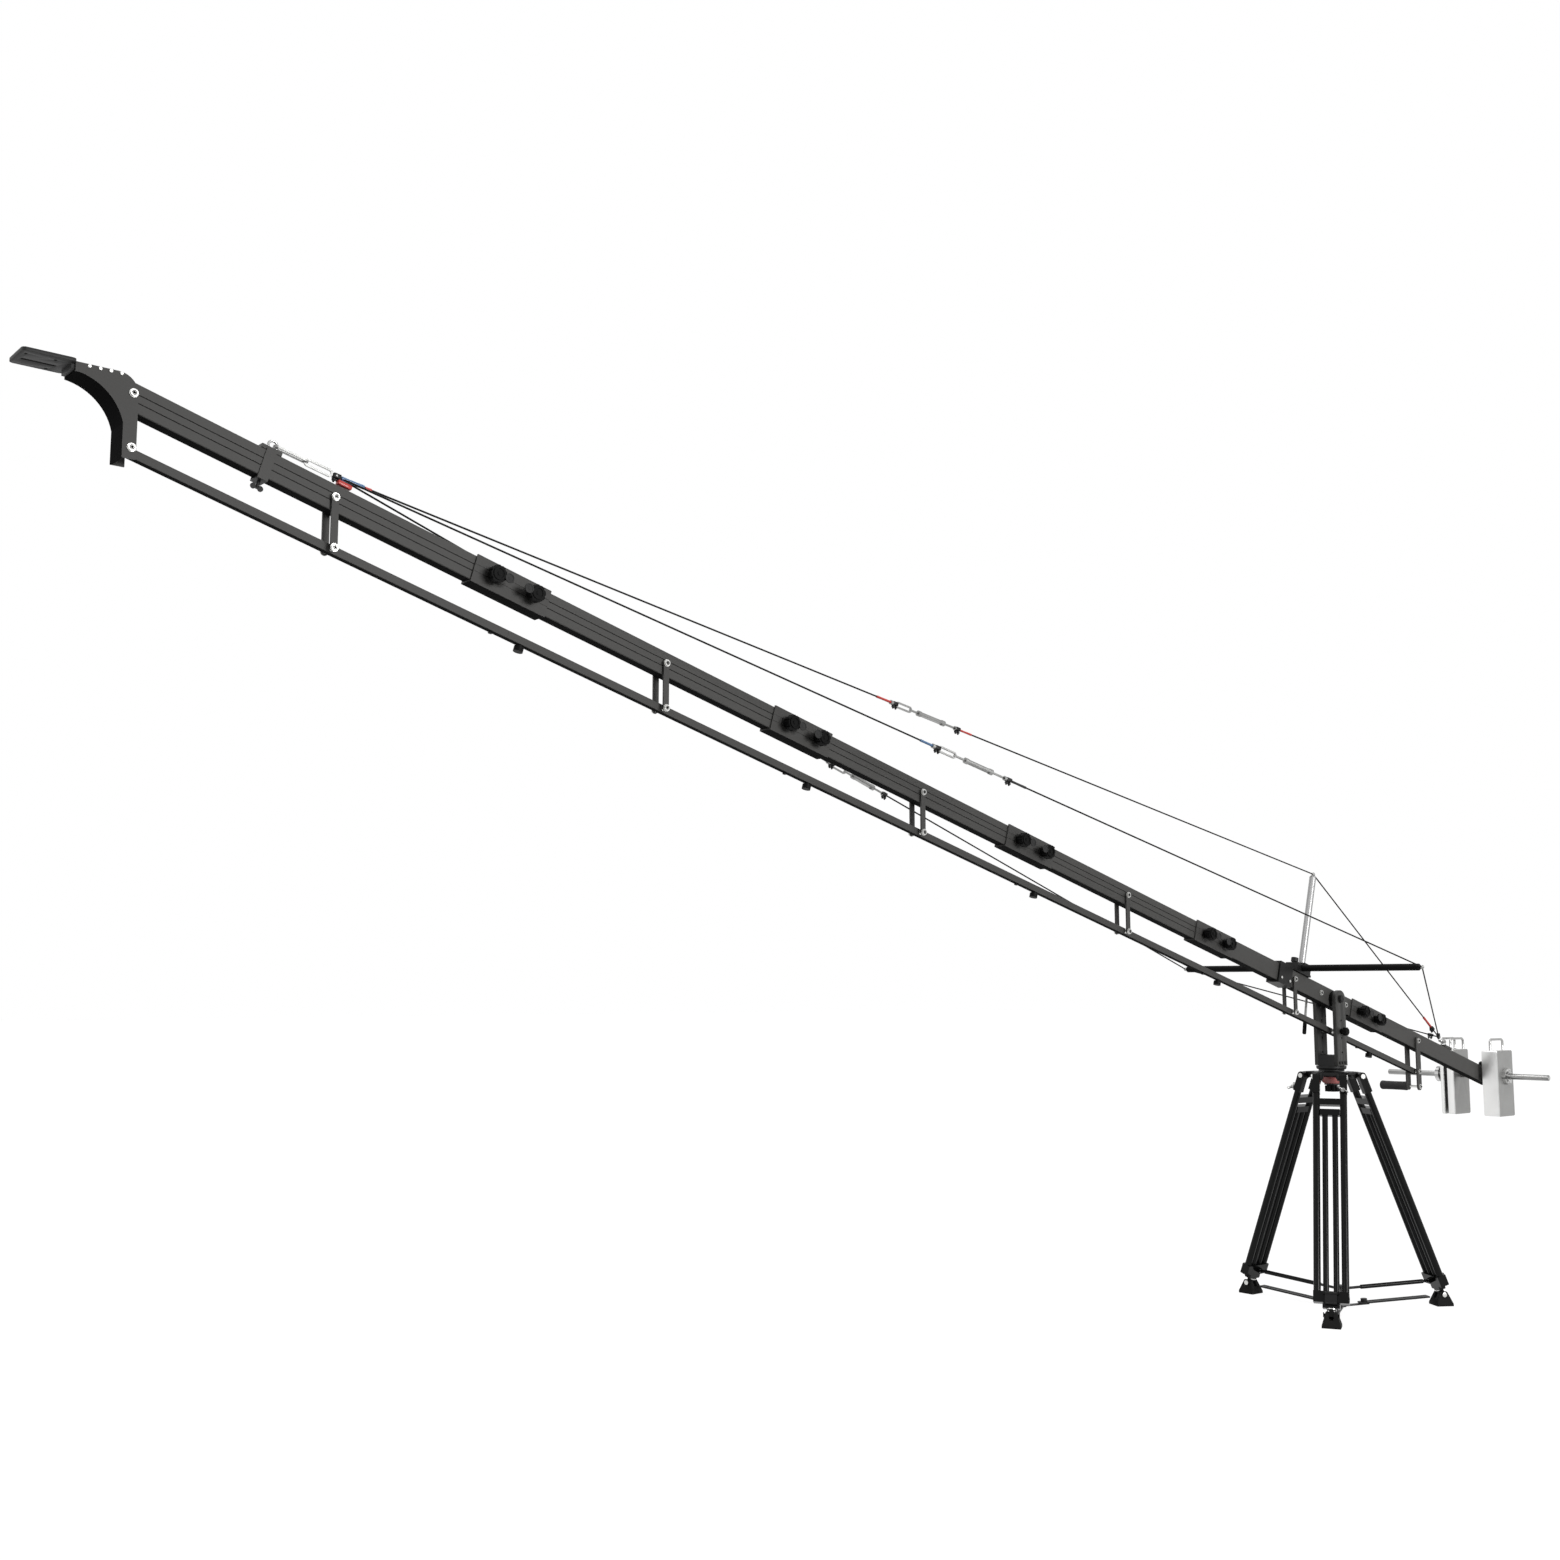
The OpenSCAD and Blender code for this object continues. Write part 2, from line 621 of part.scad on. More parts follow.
module tilt_brake_lever() {
  // A hub on the axle's far end and a bent rod that comes down ahead of the post
  reach = 60;
  drop = 104;
  translate([0, 0, pivot_z]) rotate([0, 10, 0]) {
    color("gray") {
      ring_y(17, axle_d / 2 + run_gap, up_out + seat_gap, up_out + 17);
      translate([0, up_out + 9, 0]) bent_rod([[-14, 0], [-reach, 0], [-reach, -drop]], 4.5, 16);
    }
    color("black") translate([-reach, up_out + 9, -drop]) {
      translate([0, 0, -40]) cylinder(r = 7.5, h = 48);
      translate([0, 0, -44]) cylinder(r1 = 5, r2 = 7.5, h = 4);
    }
  }
}

// Stays
module anchor_eye(s, lean) {
  // Saddle block on the boom's top with an upright ring
  at_boom(s, half_h) {
    color("dimgray") span(-26, 26, -half_w, half_w, 0.01, 10);
    color("silver") translate([lean, 0, ring_n - half_h]) rotate([90, 0, 0])
      rotate_extrude() translate([ring_r, 0]) circle(r = ring_wire, $fn = 16);
    color("silver") for (x = [-17, 17]) translate([x, 0, 10]) cylinder(r = 5, h = 4);
  }
}
module stay_anchors() {
  anchor_eye(-front_anchor_ahead, ring_lean);
  anchor_eye(rear_anchor_s, -ring_lean);
  // Clamp strap and wing bolt of the front anchor
  side = half_w + part_gap;
  color("dimgray") at_boom(-front_anchor_ahead) difference() {
    run_x(-13, 13) difference() {
      translate([0, -2]) square([2 * side + 5, boom_h + 12], center = true);
      translate([0, 1]) square([2 * side, boom_h + 10], center = true);
    }
  }
  color("silver") at_boom(-front_anchor_ahead, -half_h - 24) {
    cylinder(r = 4, h = 16);
    translate([0, 0, 2]) rotate([90, 0, 0]) linear_extrude(3, center = true) {
      for (m = [-1, 1]) translate([m * 9, -2]) circle(7);
      circle(6);
    }
  }
}
module outrigger_clamp() {
  // Saddle on the boom's top, side cheeks ahead of the fifth link, and the block for both tubes
  side = half_w + part_gap;
  x0 = -outrigger_ahead - 143;
  x1 = -outrigger_ahead + 57;
  cheek_x1 = -link_ahead - link_w - 4;
  color("black") difference() {
    union() {
      at_boom() {
        span(x0, x1, -side - 8, side + 8, half_h + part_gap, half_h + 8);
        for (m = [0, 1]) mirror([0, m, 0]) span(x0, cheek_x1, side, side + 8, -half_h - 8, half_h + 1);
        span(x0, cheek_x1, -side - 8, side + 8, -half_h - 8, -half_h - part_gap);
        span(-outrigger_ahead - 35, -outrigger_ahead + 52, -27, 27, half_h + 7, outrigger_n + 14);
        span(-outrigger_ahead + 8, -outrigger_ahead + 52, -27, 27, half_h + 7, outrigger_n + 24);
      }
    }
    at_boom(-outrigger_ahead, outrigger_n) ycyl(outrigger_d / 2, -40, 40);
    at_boom(mast_s, mast_foot_n) cylinder(r = mast_d / 2, h = 60);
  }
  color("black") at_boom(-outrigger_ahead - 20, outrigger_n + 14) {
    cylinder(r = 5, h = 6);
    translate([0, 0, 5.9]) cylinder(r = 13.5, h = 15);
  }
  color("silver") for (x = [x0 + 14, cheek_x1 - 14], m = [0, 1]) at_boom(x, -half_h + 14) mirror([0, m, 0])
    ycyl(5, side + 8, side + 12);
}
module outrigger_arm() {
  color("black") at_boom(-outrigger_ahead, outrigger_n) {
    tip = outrigger_half - eye_r - seat_gap;
    ring_y(outrigger_d / 2, outrigger_d / 2 - 2.5, 5 - tip, tip - 5);
    for (m = [0, 1]) mirror([0, m, 0]) {
      ycyl(outrigger_d / 2 - 2.5, tip - 30, tip - 5);
      translate([0, tip - 5, 0]) rotate([-90, 0, 0]) cylinder(r1 = outrigger_d / 2, r2 = eye_r + 1, h = 5);
    }
  }
}
module mast() {
  cap = 6;
  top = mast_top - eye_r - seat_gap - cap;
  foot = mast_foot_n + seat_gap;
  color("silver") at_boom(mast_s) {
    difference() {
      translate([0, 0, foot]) cylinder(r = mast_d / 2, h = top - foot);
      translate([0, 0, foot - 1]) cylinder(r = mast_d / 2 - 2, h = top - foot - 5);
    }
    translate([0, 0, top]) cylinder(r1 = mast_d / 2 + 1, r2 = mast_d / 2 - 3, h = cap);
  }
}
// Distances of the fittings from the front pull point, for the mast stay and the outrigger stays
mast_stay_fit = [1895, 1990, 2107];
side_stay_fit = [1896, 1998, 2106];
stays = [[mast_pull, mast_stay_fit], [near_pull, side_stay_fit], [far_pull, side_stay_fit]];
screw_out = 42;
module stay(a, b) { strut(a, b, wire_r); }
module stay_wires() {
  color("black") at_boom() for (k = stays) {
    stay(mix3(front_pull, k[0], pull_r + seat_gap), mix3(front_pull, k[0], k[1][0] - 2 - seat_gap));
    stay(mix3(front_pull, k[0], k[1][2] + screw_out + seat_gap), mix3(k[0], front_pull, eye_r + seat_gap));
    stay(mix3(k[0], rear_pull, eye_r + seat_gap), mix3(rear_pull, k[0], pull_r + seat_gap));
  }
}
module along(from, to, d0) {
  // Frame with its z along a stay, at a distance from the stay's start
  v = to - from;
  translate(mix3(from, to, d0)) rotate([0, acos(v[2] / norm(v)), atan2(v[1], v[0])]) children();
}
module link_eye(l, w, t) {
  // A closed link of length l, with round ends and a round-ended opening
  module oblong(grow) {
    for (z = [w / 2, l - w / 2]) translate([0, z]) circle(w / 2 + grow);
    translate([-w / 2 - grow, w / 2]) square([w + 2 * grow, l - w]);
  }
  rotate([90, 0, 0]) linear_extrude(t, center = true) difference() {
    oblong(0);
    oblong(-t);
  }
}
module sleeve(r, h) {
  difference() {
    cylinder(r = r, h = h);
    translate([0, 0, -1]) cylinder(r = wire_r + part_gap, h = h + 2);
  }
}
module fitting_set(to, fit) {
  // Sleeve, spring hook, turnbuckle with its two screws, and rope clip
  along(front_pull, to, fit[0] - 24) sleeve(7, 14);
  along(front_pull, to, fit[0] - 2) link_eye(70, 20, 5);
  along(front_pull, to, fit[0] + 60) cylinder(r = 3.5, h = fit[1] - fit[0] - 50);
  along(front_pull, to, fit[1]) difference() {
    cylinder(r = 9, h = fit[2] - fit[1]);
    for (m = [-1, 1]) translate([m * 9 - 4, -10, 12]) cube([8, 20, fit[2] - fit[1] - 24]);
  }
  along(front_pull, to, fit[2] - 4) cylinder(r = 3.5, h = screw_out + 4);
  along(front_pull, to, fit[2] + screw_out + 6) sleeve(7, 18);
}
module stay_fittings() {
  link_t = 5;
  color("silver") at_boom() {
    for (k = stays) fitting_set(k[0], k[1]);
    // Two chained links at the front anchor, the first lying flat through the anchor's ring
    hook = [-front_anchor_ahead + ring_lean + 1.5, 0, ring_n];
    pull = norm(front_pull - hook);
    first = pull * 0.55;
    second = first - 2 * link_t - 0.5;
    along(hook, front_pull, 0) rotate([0, 0, 90]) link_eye(first, 20, link_t);
    along(hook, front_pull, second) link_eye(pull - pull_r - seat_gap - second, 20, link_t);
    // Link through the rear anchor's ring
    rear_in = rear_anchor_s - ring_lean - ring_r + ring_wire + 0.5 + link_t;
    rear_l = rear_in - rear_pull[0] - pull_r - seat_gap;
    translate([rear_in - rear_l, 0, ring_n]) rotate([0, 90, 0]) rotate([0, 0, 90]) link_eye(rear_l, 18, link_t);
    // Eyes where the stays end
    for (p = [mast_pull, near_pull, far_pull]) translate(p) sphere(r = eye_r);
    for (p = [front_pull, rear_pull]) translate(p) sphere(r = pull_r);
  }
}

// Weights
module weight_bar() {
  color("silver") at_boom(bar_behind) {
    ycyl(bar_r, -bar_near, bar_far);
    for (e = [[-bar_near, -1], [bar_far, 1]]) translate([0, e[0], 0]) {
      ycyl(bar_r - 1.5, min(0, e[1] * 2), max(0, e[1] * 2));
    }
  }
  // Locking hubs against the outer weights
  color("silver") at_boom(bar_behind) {
    near = weight_near_y - seat_gap;
    far = outer_y + weight_outer_t + seat_gap;
    ring_y(33, bar_r - 0.01, near - 14, near);
    ring_y(22, bar_r - 0.01, near - 20, near - 13.9);
    ring_y(20, bar_r - 0.01, far, far + 28);
    ring_y(33, bar_r - 0.01, far + 27.9, far + 44);
  }
}
module weight_slab(y0, t) {
  at = [bx(bar_behind), 0, bz(bar_behind)];
  top = weight_above;
  color("silver") translate(at) {
    difference() {
      union() {
        run_y(y0 + 2, y0 + t - 2) translate([0, top - weight_z / 2]) rounded(weight_x, weight_z, 7);
        run_y(y0, y0 + t) translate([0, top - weight_z / 2]) rounded(weight_x - 4, weight_z - 4, 6);
      }
      ycyl(bar_r + slide_gap, y0 - 1, y0 + t + 1);
    }
    translate([0, y0 + t / 2, top])
      bent_rod([[-53, -1], [-53, 46], [53, 46], [53, -1]], 5, 14);
  }
}
module counterweight_near() { weight_slab(weight_near_y, weight_near_t); }
module counterweight_far_inner() { weight_slab(weight_far_y, weight_far_t); }
module counterweight_far_outer() { weight_slab(outer_y, weight_outer_t); }
module weight_lock_knob() {
  // Screw knob on the boom's top that clamps the bar
  color("black") at_boom(bar_behind, half_h) {
    translate([0, 0, seat_gap]) cylinder(r = 9, h = 6);
    translate([0, 0, 6]) cylinder(r = 16, h = 15);
    translate([0, 0, 20.9]) cylinder(r1 = 16, r2 = 12, h = 4);
  }
  color("silver") at_boom(bar_behind, bar_r + run_gap)
    cylinder(r = bolt_r - part_gap, h = half_h - bar_r + 2);
}

// Tripod
module tripod_crown() {
  plate_h = 10;
  arm = upper_pitch / 2 - upper_d / 2 - 1;
  color("black") difference() {
    union() {
      translate([0, 0, crown_z - plate_h]) cylinder(r = 64, h = plate_h);
      translate([0, 0, crown_z - 17]) cylinder(r = 58, h = 10);
      for (dir = leg_dirs) rotate([0, 0, dir]) {
        span(40, hinge_r + 8, -arm, arm, crown_z - plate_h, crown_z);
        for (m = [0, 1]) mirror([0, m, 0]) translate([hinge_r, 0, hinge_z]) run_y(lug_in, lug_in + lug_t) {
          circle(15);
          translate([-22, -8]) square([22, 20]);
        }
      }
    }
    translate([0, 0, ball_z]) sphere(r = ball_r + seat_gap, $fn = 96);
    translate([0, 0, crown_z - 30]) cylinder(r = ball_r - 6, h = 20);
    for (dir = leg_dirs) rotate([0, 0, dir]) translate([hinge_r, 0, hinge_z])
      ycyl(leg_pin_r, -upper_pitch, upper_pitch);
  }
  color("silver") for (dir = leg_dirs, m = [0, 1]) rotate([0, 0, dir]) mirror([0, m, 0])
    translate([hinge_r, 0, hinge_z]) {
      ycyl(leg_pin_r - 0.01, lug_in - 4, collar_w / 2 + 3);
      ycyl(leg_pin_r + 3, lug_in - 4, lug_in - seat_gap / 3);
      ycyl(leg_pin_r + 4, collar_w / 2 + seat_gap, collar_w / 2 + 4);
    }
}
module levelling_ball() {
  // Half ball in the crown's seat, its top plate above and its threaded stem below
  color("indianred") difference() {
    translate([0, 0, ball_z]) sphere(r = ball_r, $fn = 96);
    translate([-ball_d, -ball_d, ball_z]) cube(2 * ball_d);
    translate([-ball_d, -ball_d, ball_z - 40 - 2 * ball_d]) cube(2 * ball_d);
  }
  color("black") translate([0, 0, ball_z - 0.01]) cylinder(r = 30, h = post_base_z - ball_z - 6);
  color("black") translate([0, 0, post_base_z - 7]) cylinder(r = 48, h = 7 - seat_gap);
  color("silver") translate([0, 0, post_base_z - 2]) cylinder(r = spigot_r, h = 13);
  color("black") translate([0, 0, ball_z - 46]) cylinder(r = 28, h = 6.01);
  color("silver") translate([0, 0, ball_z - 46 - stem_l]) cylinder(r = stem_r, h = stem_l + 0.01);
}
module tie_down_knob() {
  knob_h = 25;
  color("black") translate([0, 0, ball_z - 46 - seat_gap - knob_h]) difference() {
    union() {
      cylinder(r = 20, h = knob_h);
      for (a = [0:45:315]) rotate([0, 0, a]) translate([20, 0, 0]) cylinder(r = 7, h = knob_h - 3);
    }
    translate([0, 0, knob_h - stem_l - 0.5]) cylinder(r = stem_r + run_gap, h = knob_h);
  }
}
module leg_upper(dir) {
  head_w = upper_d + 4;
  ear = 4.3;
  color("black") at_leg(dir) {
    difference() {
      union() {
        for (m = [-1, 1]) translate([0, m * upper_pitch / 2, 0]) {
          translate([0, 0, collar_top - 1]) cylinder(r = upper_d / 2, h = -collar_top - 60);
          // Hinge head on the tube's top end
          run_y(-upper_d / 2, upper_d / 2) {
            circle(head_w / 2);
            translate([-head_w / 2, -66]) square([head_w, 66]);
          }
        }
        // Cross yoke under the heads and clamp collar at the bottom
        span(-13, 13, -upper_pitch / 2, upper_pitch / 2, -112, -88);
        span(-collar_d / 2, collar_d / 2, -collar_w / 2, collar_w / 2, collar_top - collar_h, collar_top);
        // Ears for the spreader rod on the inner side and for the lock lever on the outer side
        for (m = [0, 1]) mirror([0, m, 0]) {
          translate([spread_x, 0, spread_z]) run_y(ear, ear + 5) {
            circle(8);
            translate([0, -8]) square([-spread_x - collar_d / 2 + 1, 16]);
          }
          translate([collar_d / 2 + 7, 0, collar_mid + 12]) run_y(21, 26) {
            circle(6);
            translate([-8, -6]) square([8, 12]);
          }
        }
      }
      for (m = [-1, 1]) {
        translate([0, m * upper_pitch / 2, 0]) ycyl(leg_pin_r + run_gap, -upper_d, upper_d);
        translate([0, m * lower_pitch / 2, collar_top - collar_h - 1])
          cylinder(r = lower_d / 2 + slide_gap, h = collar_h + 2);
      }
      translate([spread_x, 0, spread_z]) ycyl(spread_pin_r, -12, 12);
      translate([collar_d / 2 + 7, 0, collar_mid + 12]) ycyl(2.5, -30, 30);
    }
  }
  color("silver") at_leg(dir) {
    translate([spread_x, 0, spread_z]) ycyl(spread_pin_r - 0.01, -ear - 7, ear + 7);
    translate([collar_d / 2 + 7, 0, collar_mid + 12]) ycyl(2.49, -28, 28);
  }
}
module leg_lower(dir) {
  top = -128;
  block_top = collar_top - collar_h - 3;
  inner_gap = upper_pitch - upper_d;
  color("black") at_leg(dir) difference() {
    union() {
      for (m = [-1, 1]) translate([0, m * lower_pitch / 2, block_top - 1])
        cylinder(r = lower_d / 2, h = top - block_top);
      // Sliding yoke between the upper tubes
      span(-11, 11, -inner_gap / 2 + part_gap, inner_gap / 2 - part_gap, top - 24, top);
      // Ankle block and its tongue
      span(-13, 13, -lower_pitch / 2 - 12, lower_pitch / 2 + 12, block_top - 16, block_top);
      translate([0, 0, -leg_l]) run_y(-8, 8) {
        circle(12);
        translate([-12, 0]) square([24, leg_l + block_top - 10]);
      }
    }
    translate([0, 0, -leg_l]) ycyl(ankle_pin_r + run_gap, -10, 10);
  }
}
module shoe_side(half, top) {
  rim = 9;
  polygon([[-half, 0], [half, 0], [half, rim], [top, ankle_z + 10], [-top, ankle_z + 10], [-half, rim]]);
}
module foot(dir) {
  half = foot_w / 2;
  ear = 8.5;
  color("dimgray") rotate([0, 0, dir]) translate([foot_r, 0, 0]) difference() {
    intersection() {
      run_y(-half, half) shoe_side(half, 15);
      run_x(-half, half) shoe_side(half, 20);
    }
    // Slot for the leg's tongue
    span(-half, half, -ear, ear, ankle_z - 15, ankle_z + 30);
    translate([0, 0, ankle_z]) ycyl(ankle_pin_r, -half, half);
  }
  color("silver") rotate([0, 0, dir]) translate([foot_r, 0, ankle_z]) {
    ycyl(ankle_pin_r - 0.01, -27, 27);
    for (m = [0, 1]) mirror([0, m, 0]) ycyl(9, 26, 29);
  }
}
module leg_lock(dir) {
  pin = [collar_d / 2 + 7, 0, collar_mid + 12];
  color("silver") at_leg(dir) translate(pin) difference() {
    union() {
      run_y(-20.5, 20.5) {
        circle(5.5);
        translate([-3, -34]) square([5, 34]);
        translate([-0.5, -36]) circle(4);
      }
    }
    ycyl(2.5 + run_gap, -30, 30);
  }
}
module spreader_hub() {
  // Post with a telescopic arm to each leg above and a seat for each slotted plate below
  color("black") {
    translate([0, 0, hub_plate_z - 2]) cylinder(r = 7, h = hub_arm_z - hub_plate_z);
    translate([0, 0, hub_arm_z - 30]) cylinder(r = 16, h = 44);
    translate([0, 0, hub_plate_z - 4]) cylinder(r = 22, h = 4);
    for (dir = leg_dirs) {
      at_arm(dir, hub_arm_z) xcyl(hub_arm_r, 11, hub_arm_l);
      at_arm(dir, hub_plate_z) span(14, 112, -11, 11, -4, 0);
      at_arm(dir, hub_plate_z) translate([96, 0, 0]) {
        translate([0, 0, -1]) cylinder(r = 3.8, h = plate_thick + 4);
        translate([0, 0, plate_thick + 2 * seat_gap]) cylinder(r = 12, h = 11);
      }
    }
  }
}
module spreader_rod(dir) {
  bore = hub_arm_r + 0.8;
  color("black") at_arm(dir, hub_arm_z) difference() {
    union() {
      xcyl(spreader_d / 2, rod_start, spread_len - 26);
      xcyl(5.5, spread_len - 27, spread_len - 12);
      translate([spread_len, 0, 0]) run_y(-4, 4) {
        circle(7);
        translate([-18, -5]) square([18, 10]);
      }
    }
    xcyl(bore, rod_start - 1, hub_arm_l + spread_travel + 4);
    translate([spread_len, 0, 0]) ycyl(spread_pin_r + run_gap, -6, 6);
  }
}
module spreader_plate(dir) {
  w = slot_plate_w / 2;
  slot = 4.5;
  color("dimgray") at_arm(dir, hub_plate_z) translate([0, 0, seat_gap]) difference() {
    span(plate_start, plate_start + slot_plate_l, -w, w, 0, plate_thick);
    span(plate_start + 12, plate_start + slot_plate_l - 22, -slot, slot, -1, plate_thick + 1);
    for (x = [plate_start + 12, plate_start + slot_plate_l - 22]) translate([x, 0, -1])
      cylinder(r = slot, h = plate_thick + 2);
  }
}

tripod_crown();
levelling_ball();
tie_down_knob();
leg_upper(leg_dirs[0]);  // leg_upper_near
leg_upper(leg_dirs[1]);  // leg_upper_left
leg_upper(leg_dirs[2]);  // leg_upper_right
leg_lower(leg_dirs[0]);  // leg_lower_near
leg_lower(leg_dirs[1]);  // leg_lower_left
leg_lower(leg_dirs[2]);  // leg_lower_right
foot(leg_dirs[0]);  // foot_near
foot(leg_dirs[1]);  // foot_left
foot(leg_dirs[2]);  // foot_right
leg_lock(leg_dirs[0]);  // leg_lock_near
leg_lock(leg_dirs[1]);  // leg_lock_left
leg_lock(leg_dirs[2]);  // leg_lock_right
spreader_hub();
spreader_rod(leg_dirs[0]);  // spreader_rod_near
spreader_rod(leg_dirs[1]);  // spreader_rod_left
spreader_rod(leg_dirs[2]);  // spreader_rod_right
spreader_plate(leg_dirs[0]);  // spreader_plate_near
spreader_plate(leg_dirs[1]);  // spreader_plate_left
spreader_plate(leg_dirs[2]);  // spreader_plate_right
pan_base();
upright(1);  // upright_near
upright(0);  // upright_far
tilt_axle();
rod_pivot_knob();
tilt_brake_lever();
pivot_bearings();
boom_section(1);  // boom_section_1
boom_section(2);  // boom_section_2
boom_section(3);  // boom_section_3
boom_section(4);  // boom_section_4
boom_section(5);  // boom_section_5
boom_section(6);  // boom_section_6
section_couplers();
coupler_knobs();
link_bolts();
stay_anchors();
outrigger_clamp();
outrigger_arm();
mast();
stay_wires();
stay_fittings();
weight_bar();
counterweight_near();
counterweight_far_inner();
counterweight_far_outer();
weight_lock_knob();
lower_rod();
rod_thumbscrews();
link(1);  // link_1
link(2);  // link_2
link(3);  // link_3
link(4);  // link_4
link(5);  // link_5
link(6);  // link_6
rear_grip();
nose_bracket();
camera_plate();
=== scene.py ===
import json
import math
import bpy
from mathutils import Matrix, Vector

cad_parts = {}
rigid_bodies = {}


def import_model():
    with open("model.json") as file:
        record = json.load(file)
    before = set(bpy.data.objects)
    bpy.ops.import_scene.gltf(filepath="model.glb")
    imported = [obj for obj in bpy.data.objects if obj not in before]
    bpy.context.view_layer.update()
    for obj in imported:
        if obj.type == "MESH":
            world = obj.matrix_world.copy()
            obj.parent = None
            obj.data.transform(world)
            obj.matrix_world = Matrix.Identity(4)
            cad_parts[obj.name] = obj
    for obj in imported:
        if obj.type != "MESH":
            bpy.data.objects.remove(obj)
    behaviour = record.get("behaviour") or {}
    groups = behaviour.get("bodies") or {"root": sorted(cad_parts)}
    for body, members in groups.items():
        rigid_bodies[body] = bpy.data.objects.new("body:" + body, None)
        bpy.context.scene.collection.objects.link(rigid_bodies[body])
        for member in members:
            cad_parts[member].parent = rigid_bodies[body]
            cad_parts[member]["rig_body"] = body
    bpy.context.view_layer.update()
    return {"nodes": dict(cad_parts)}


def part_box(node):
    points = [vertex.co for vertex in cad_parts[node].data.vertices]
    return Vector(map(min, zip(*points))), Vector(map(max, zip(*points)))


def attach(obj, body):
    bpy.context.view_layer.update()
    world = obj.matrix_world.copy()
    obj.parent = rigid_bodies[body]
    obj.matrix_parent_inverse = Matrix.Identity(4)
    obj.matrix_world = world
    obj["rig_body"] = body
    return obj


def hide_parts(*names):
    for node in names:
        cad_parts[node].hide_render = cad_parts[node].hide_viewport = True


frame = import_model()

# Places on the crane are in millimetres, and MM turns them into Blender's metres.
# A station is a distance along the boom from the pan axis, below zero towards the nose.
MM = 0.001
INCLINE = math.radians(16.1)
PIVOT = Vector((0, 0, 1162))
LINK_STATIONS = [-4352, -3332, -2312, -1292, -272, 618]
COUPLER_STATIONS = [-3842, -2822, -1802, -782, 238]
PIVOT_BOLT_STATIONS = [-86, 86]
NOSE_STATION = -4861
FRONT_PULL_STATION = -4358
BAR_STATION = 1188
ROD_DROP = 124
HANDLE_DROP = 184
HALF_WIDTH = 19
HALF_HEIGHT = 33
COUPLER_WALL = 5
GROOVE_UP = 9.24
LEG_DIRS = {"near": 208, "left": 88, "right": 328}
LEG_HINGE = Vector((96, 0, 868))
ANKLE = Vector((409, 0, 42))
LEG_TILT = math.atan2(ANKLE.x - LEG_HINGE.x, LEG_HINGE.z - ANKLE.z)


def moved(x, y, z):
    """Matrix of a move, in millimetres."""
    return Matrix.Translation(Vector((x, y, z)) * MM)


def spun(degrees, axis):
    """Matrix of a turn about an axis."""
    return Matrix.Rotation(math.radians(degrees), 4, axis)


BOOM_FRAME = Matrix.Translation(PIVOT * MM) @ Matrix.Rotation(INCLINE, 4, "Y")
TO_NEAR = spun(90, "X")
TO_FAR = spun(-90, "X")


def boom_at(s, y=0.0, n=0.0):
    """World matrix of the boom's frame, moved along, across and up."""
    return BOOM_FRAME @ moved(s, y, n)


def leg_at(which, x=0.0, y=0.0, z=0.0):
    """World matrix of a leg's frame: x outwards, z up the leg."""
    hinge = Matrix.Translation(LEG_HINGE * MM)
    return spun(LEG_DIRS[which], "Z") @ hinge @ Matrix.Rotation(-LEG_TILT, 4, "Y") @ moved(x, y, z)


def in_boom(point):
    """A world point as along, across and up of the boom."""
    return (BOOM_FRAME.inverted() @ point) / MM


def towards_leg(which, point):
    """A world point turned about the pan axis, so that x points to a leg's foot."""
    return (spun(-LEG_DIRS[which], "Z") @ point) / MM


# Camera, at the photograph's place
camera_data = bpy.data.cameras.new("jib_camera")
camera_data.sensor_width = 36.0
camera_data.lens = 39.52
camera_data.shift_x = -0.0007
camera_data.shift_y = 0.0009
camera_data.clip_end = 200.0
camera = bpy.data.objects.new("jib_camera", camera_data)
camera.location = (-5.9255, -3.7558, 1.2067)
camera.rotation_euler = (math.radians(96.853), 0.0, math.radians(-40.03))
bpy.context.scene.collection.objects.link(camera)
bpy.context.scene.camera = camera
bpy.context.scene.view_settings.view_transform = "Standard"


# Shader building
class Wire:
    """A value, a colour or a shader on its way through a tree's nodes."""

    def __init__(self, tree, socket, colour=False):
        self.tree = tree
        self.socket = socket
        self.colour = colour

    def _maths(self, op, other, swapped=False):
        first, second = (other, self) if swapped else (self, other)
        if self.colour or getattr(other, "colour", False):
            made = self.tree.node("ShaderNodeVectorMath", {"operation": op}, {0: first, 1: second})
            return Wire(self.tree, made.outputs[0], True)
        made = self.tree.node("ShaderNodeMath", {"operation": op}, {0: first, 1: second})
        return Wire(self.tree, made.outputs[0])

    def __add__(self, other):
        return self._maths("ADD", other)

    __radd__ = __add__

    def __sub__(self, other):
        return self._maths("SUBTRACT", other)

    def __rsub__(self, other):
        return self._maths("SUBTRACT", other, True)

    def __mul__(self, other):
        return self._maths("MULTIPLY", other)

    __rmul__ = __mul__

    def either(self, other):
        """The larger of two values: of two masks, where one or the other is on."""
        return self._maths("MAXIMUM", other)

    def over(self, low, high):
        """0 below low, 1 above high, and a straight ramp between."""
        values = {"Value": self, "From Min": low, "From Max": high}
        return Wire(self.tree, self.tree.node("ShaderNodeMapRange", {}, values).outputs[0])


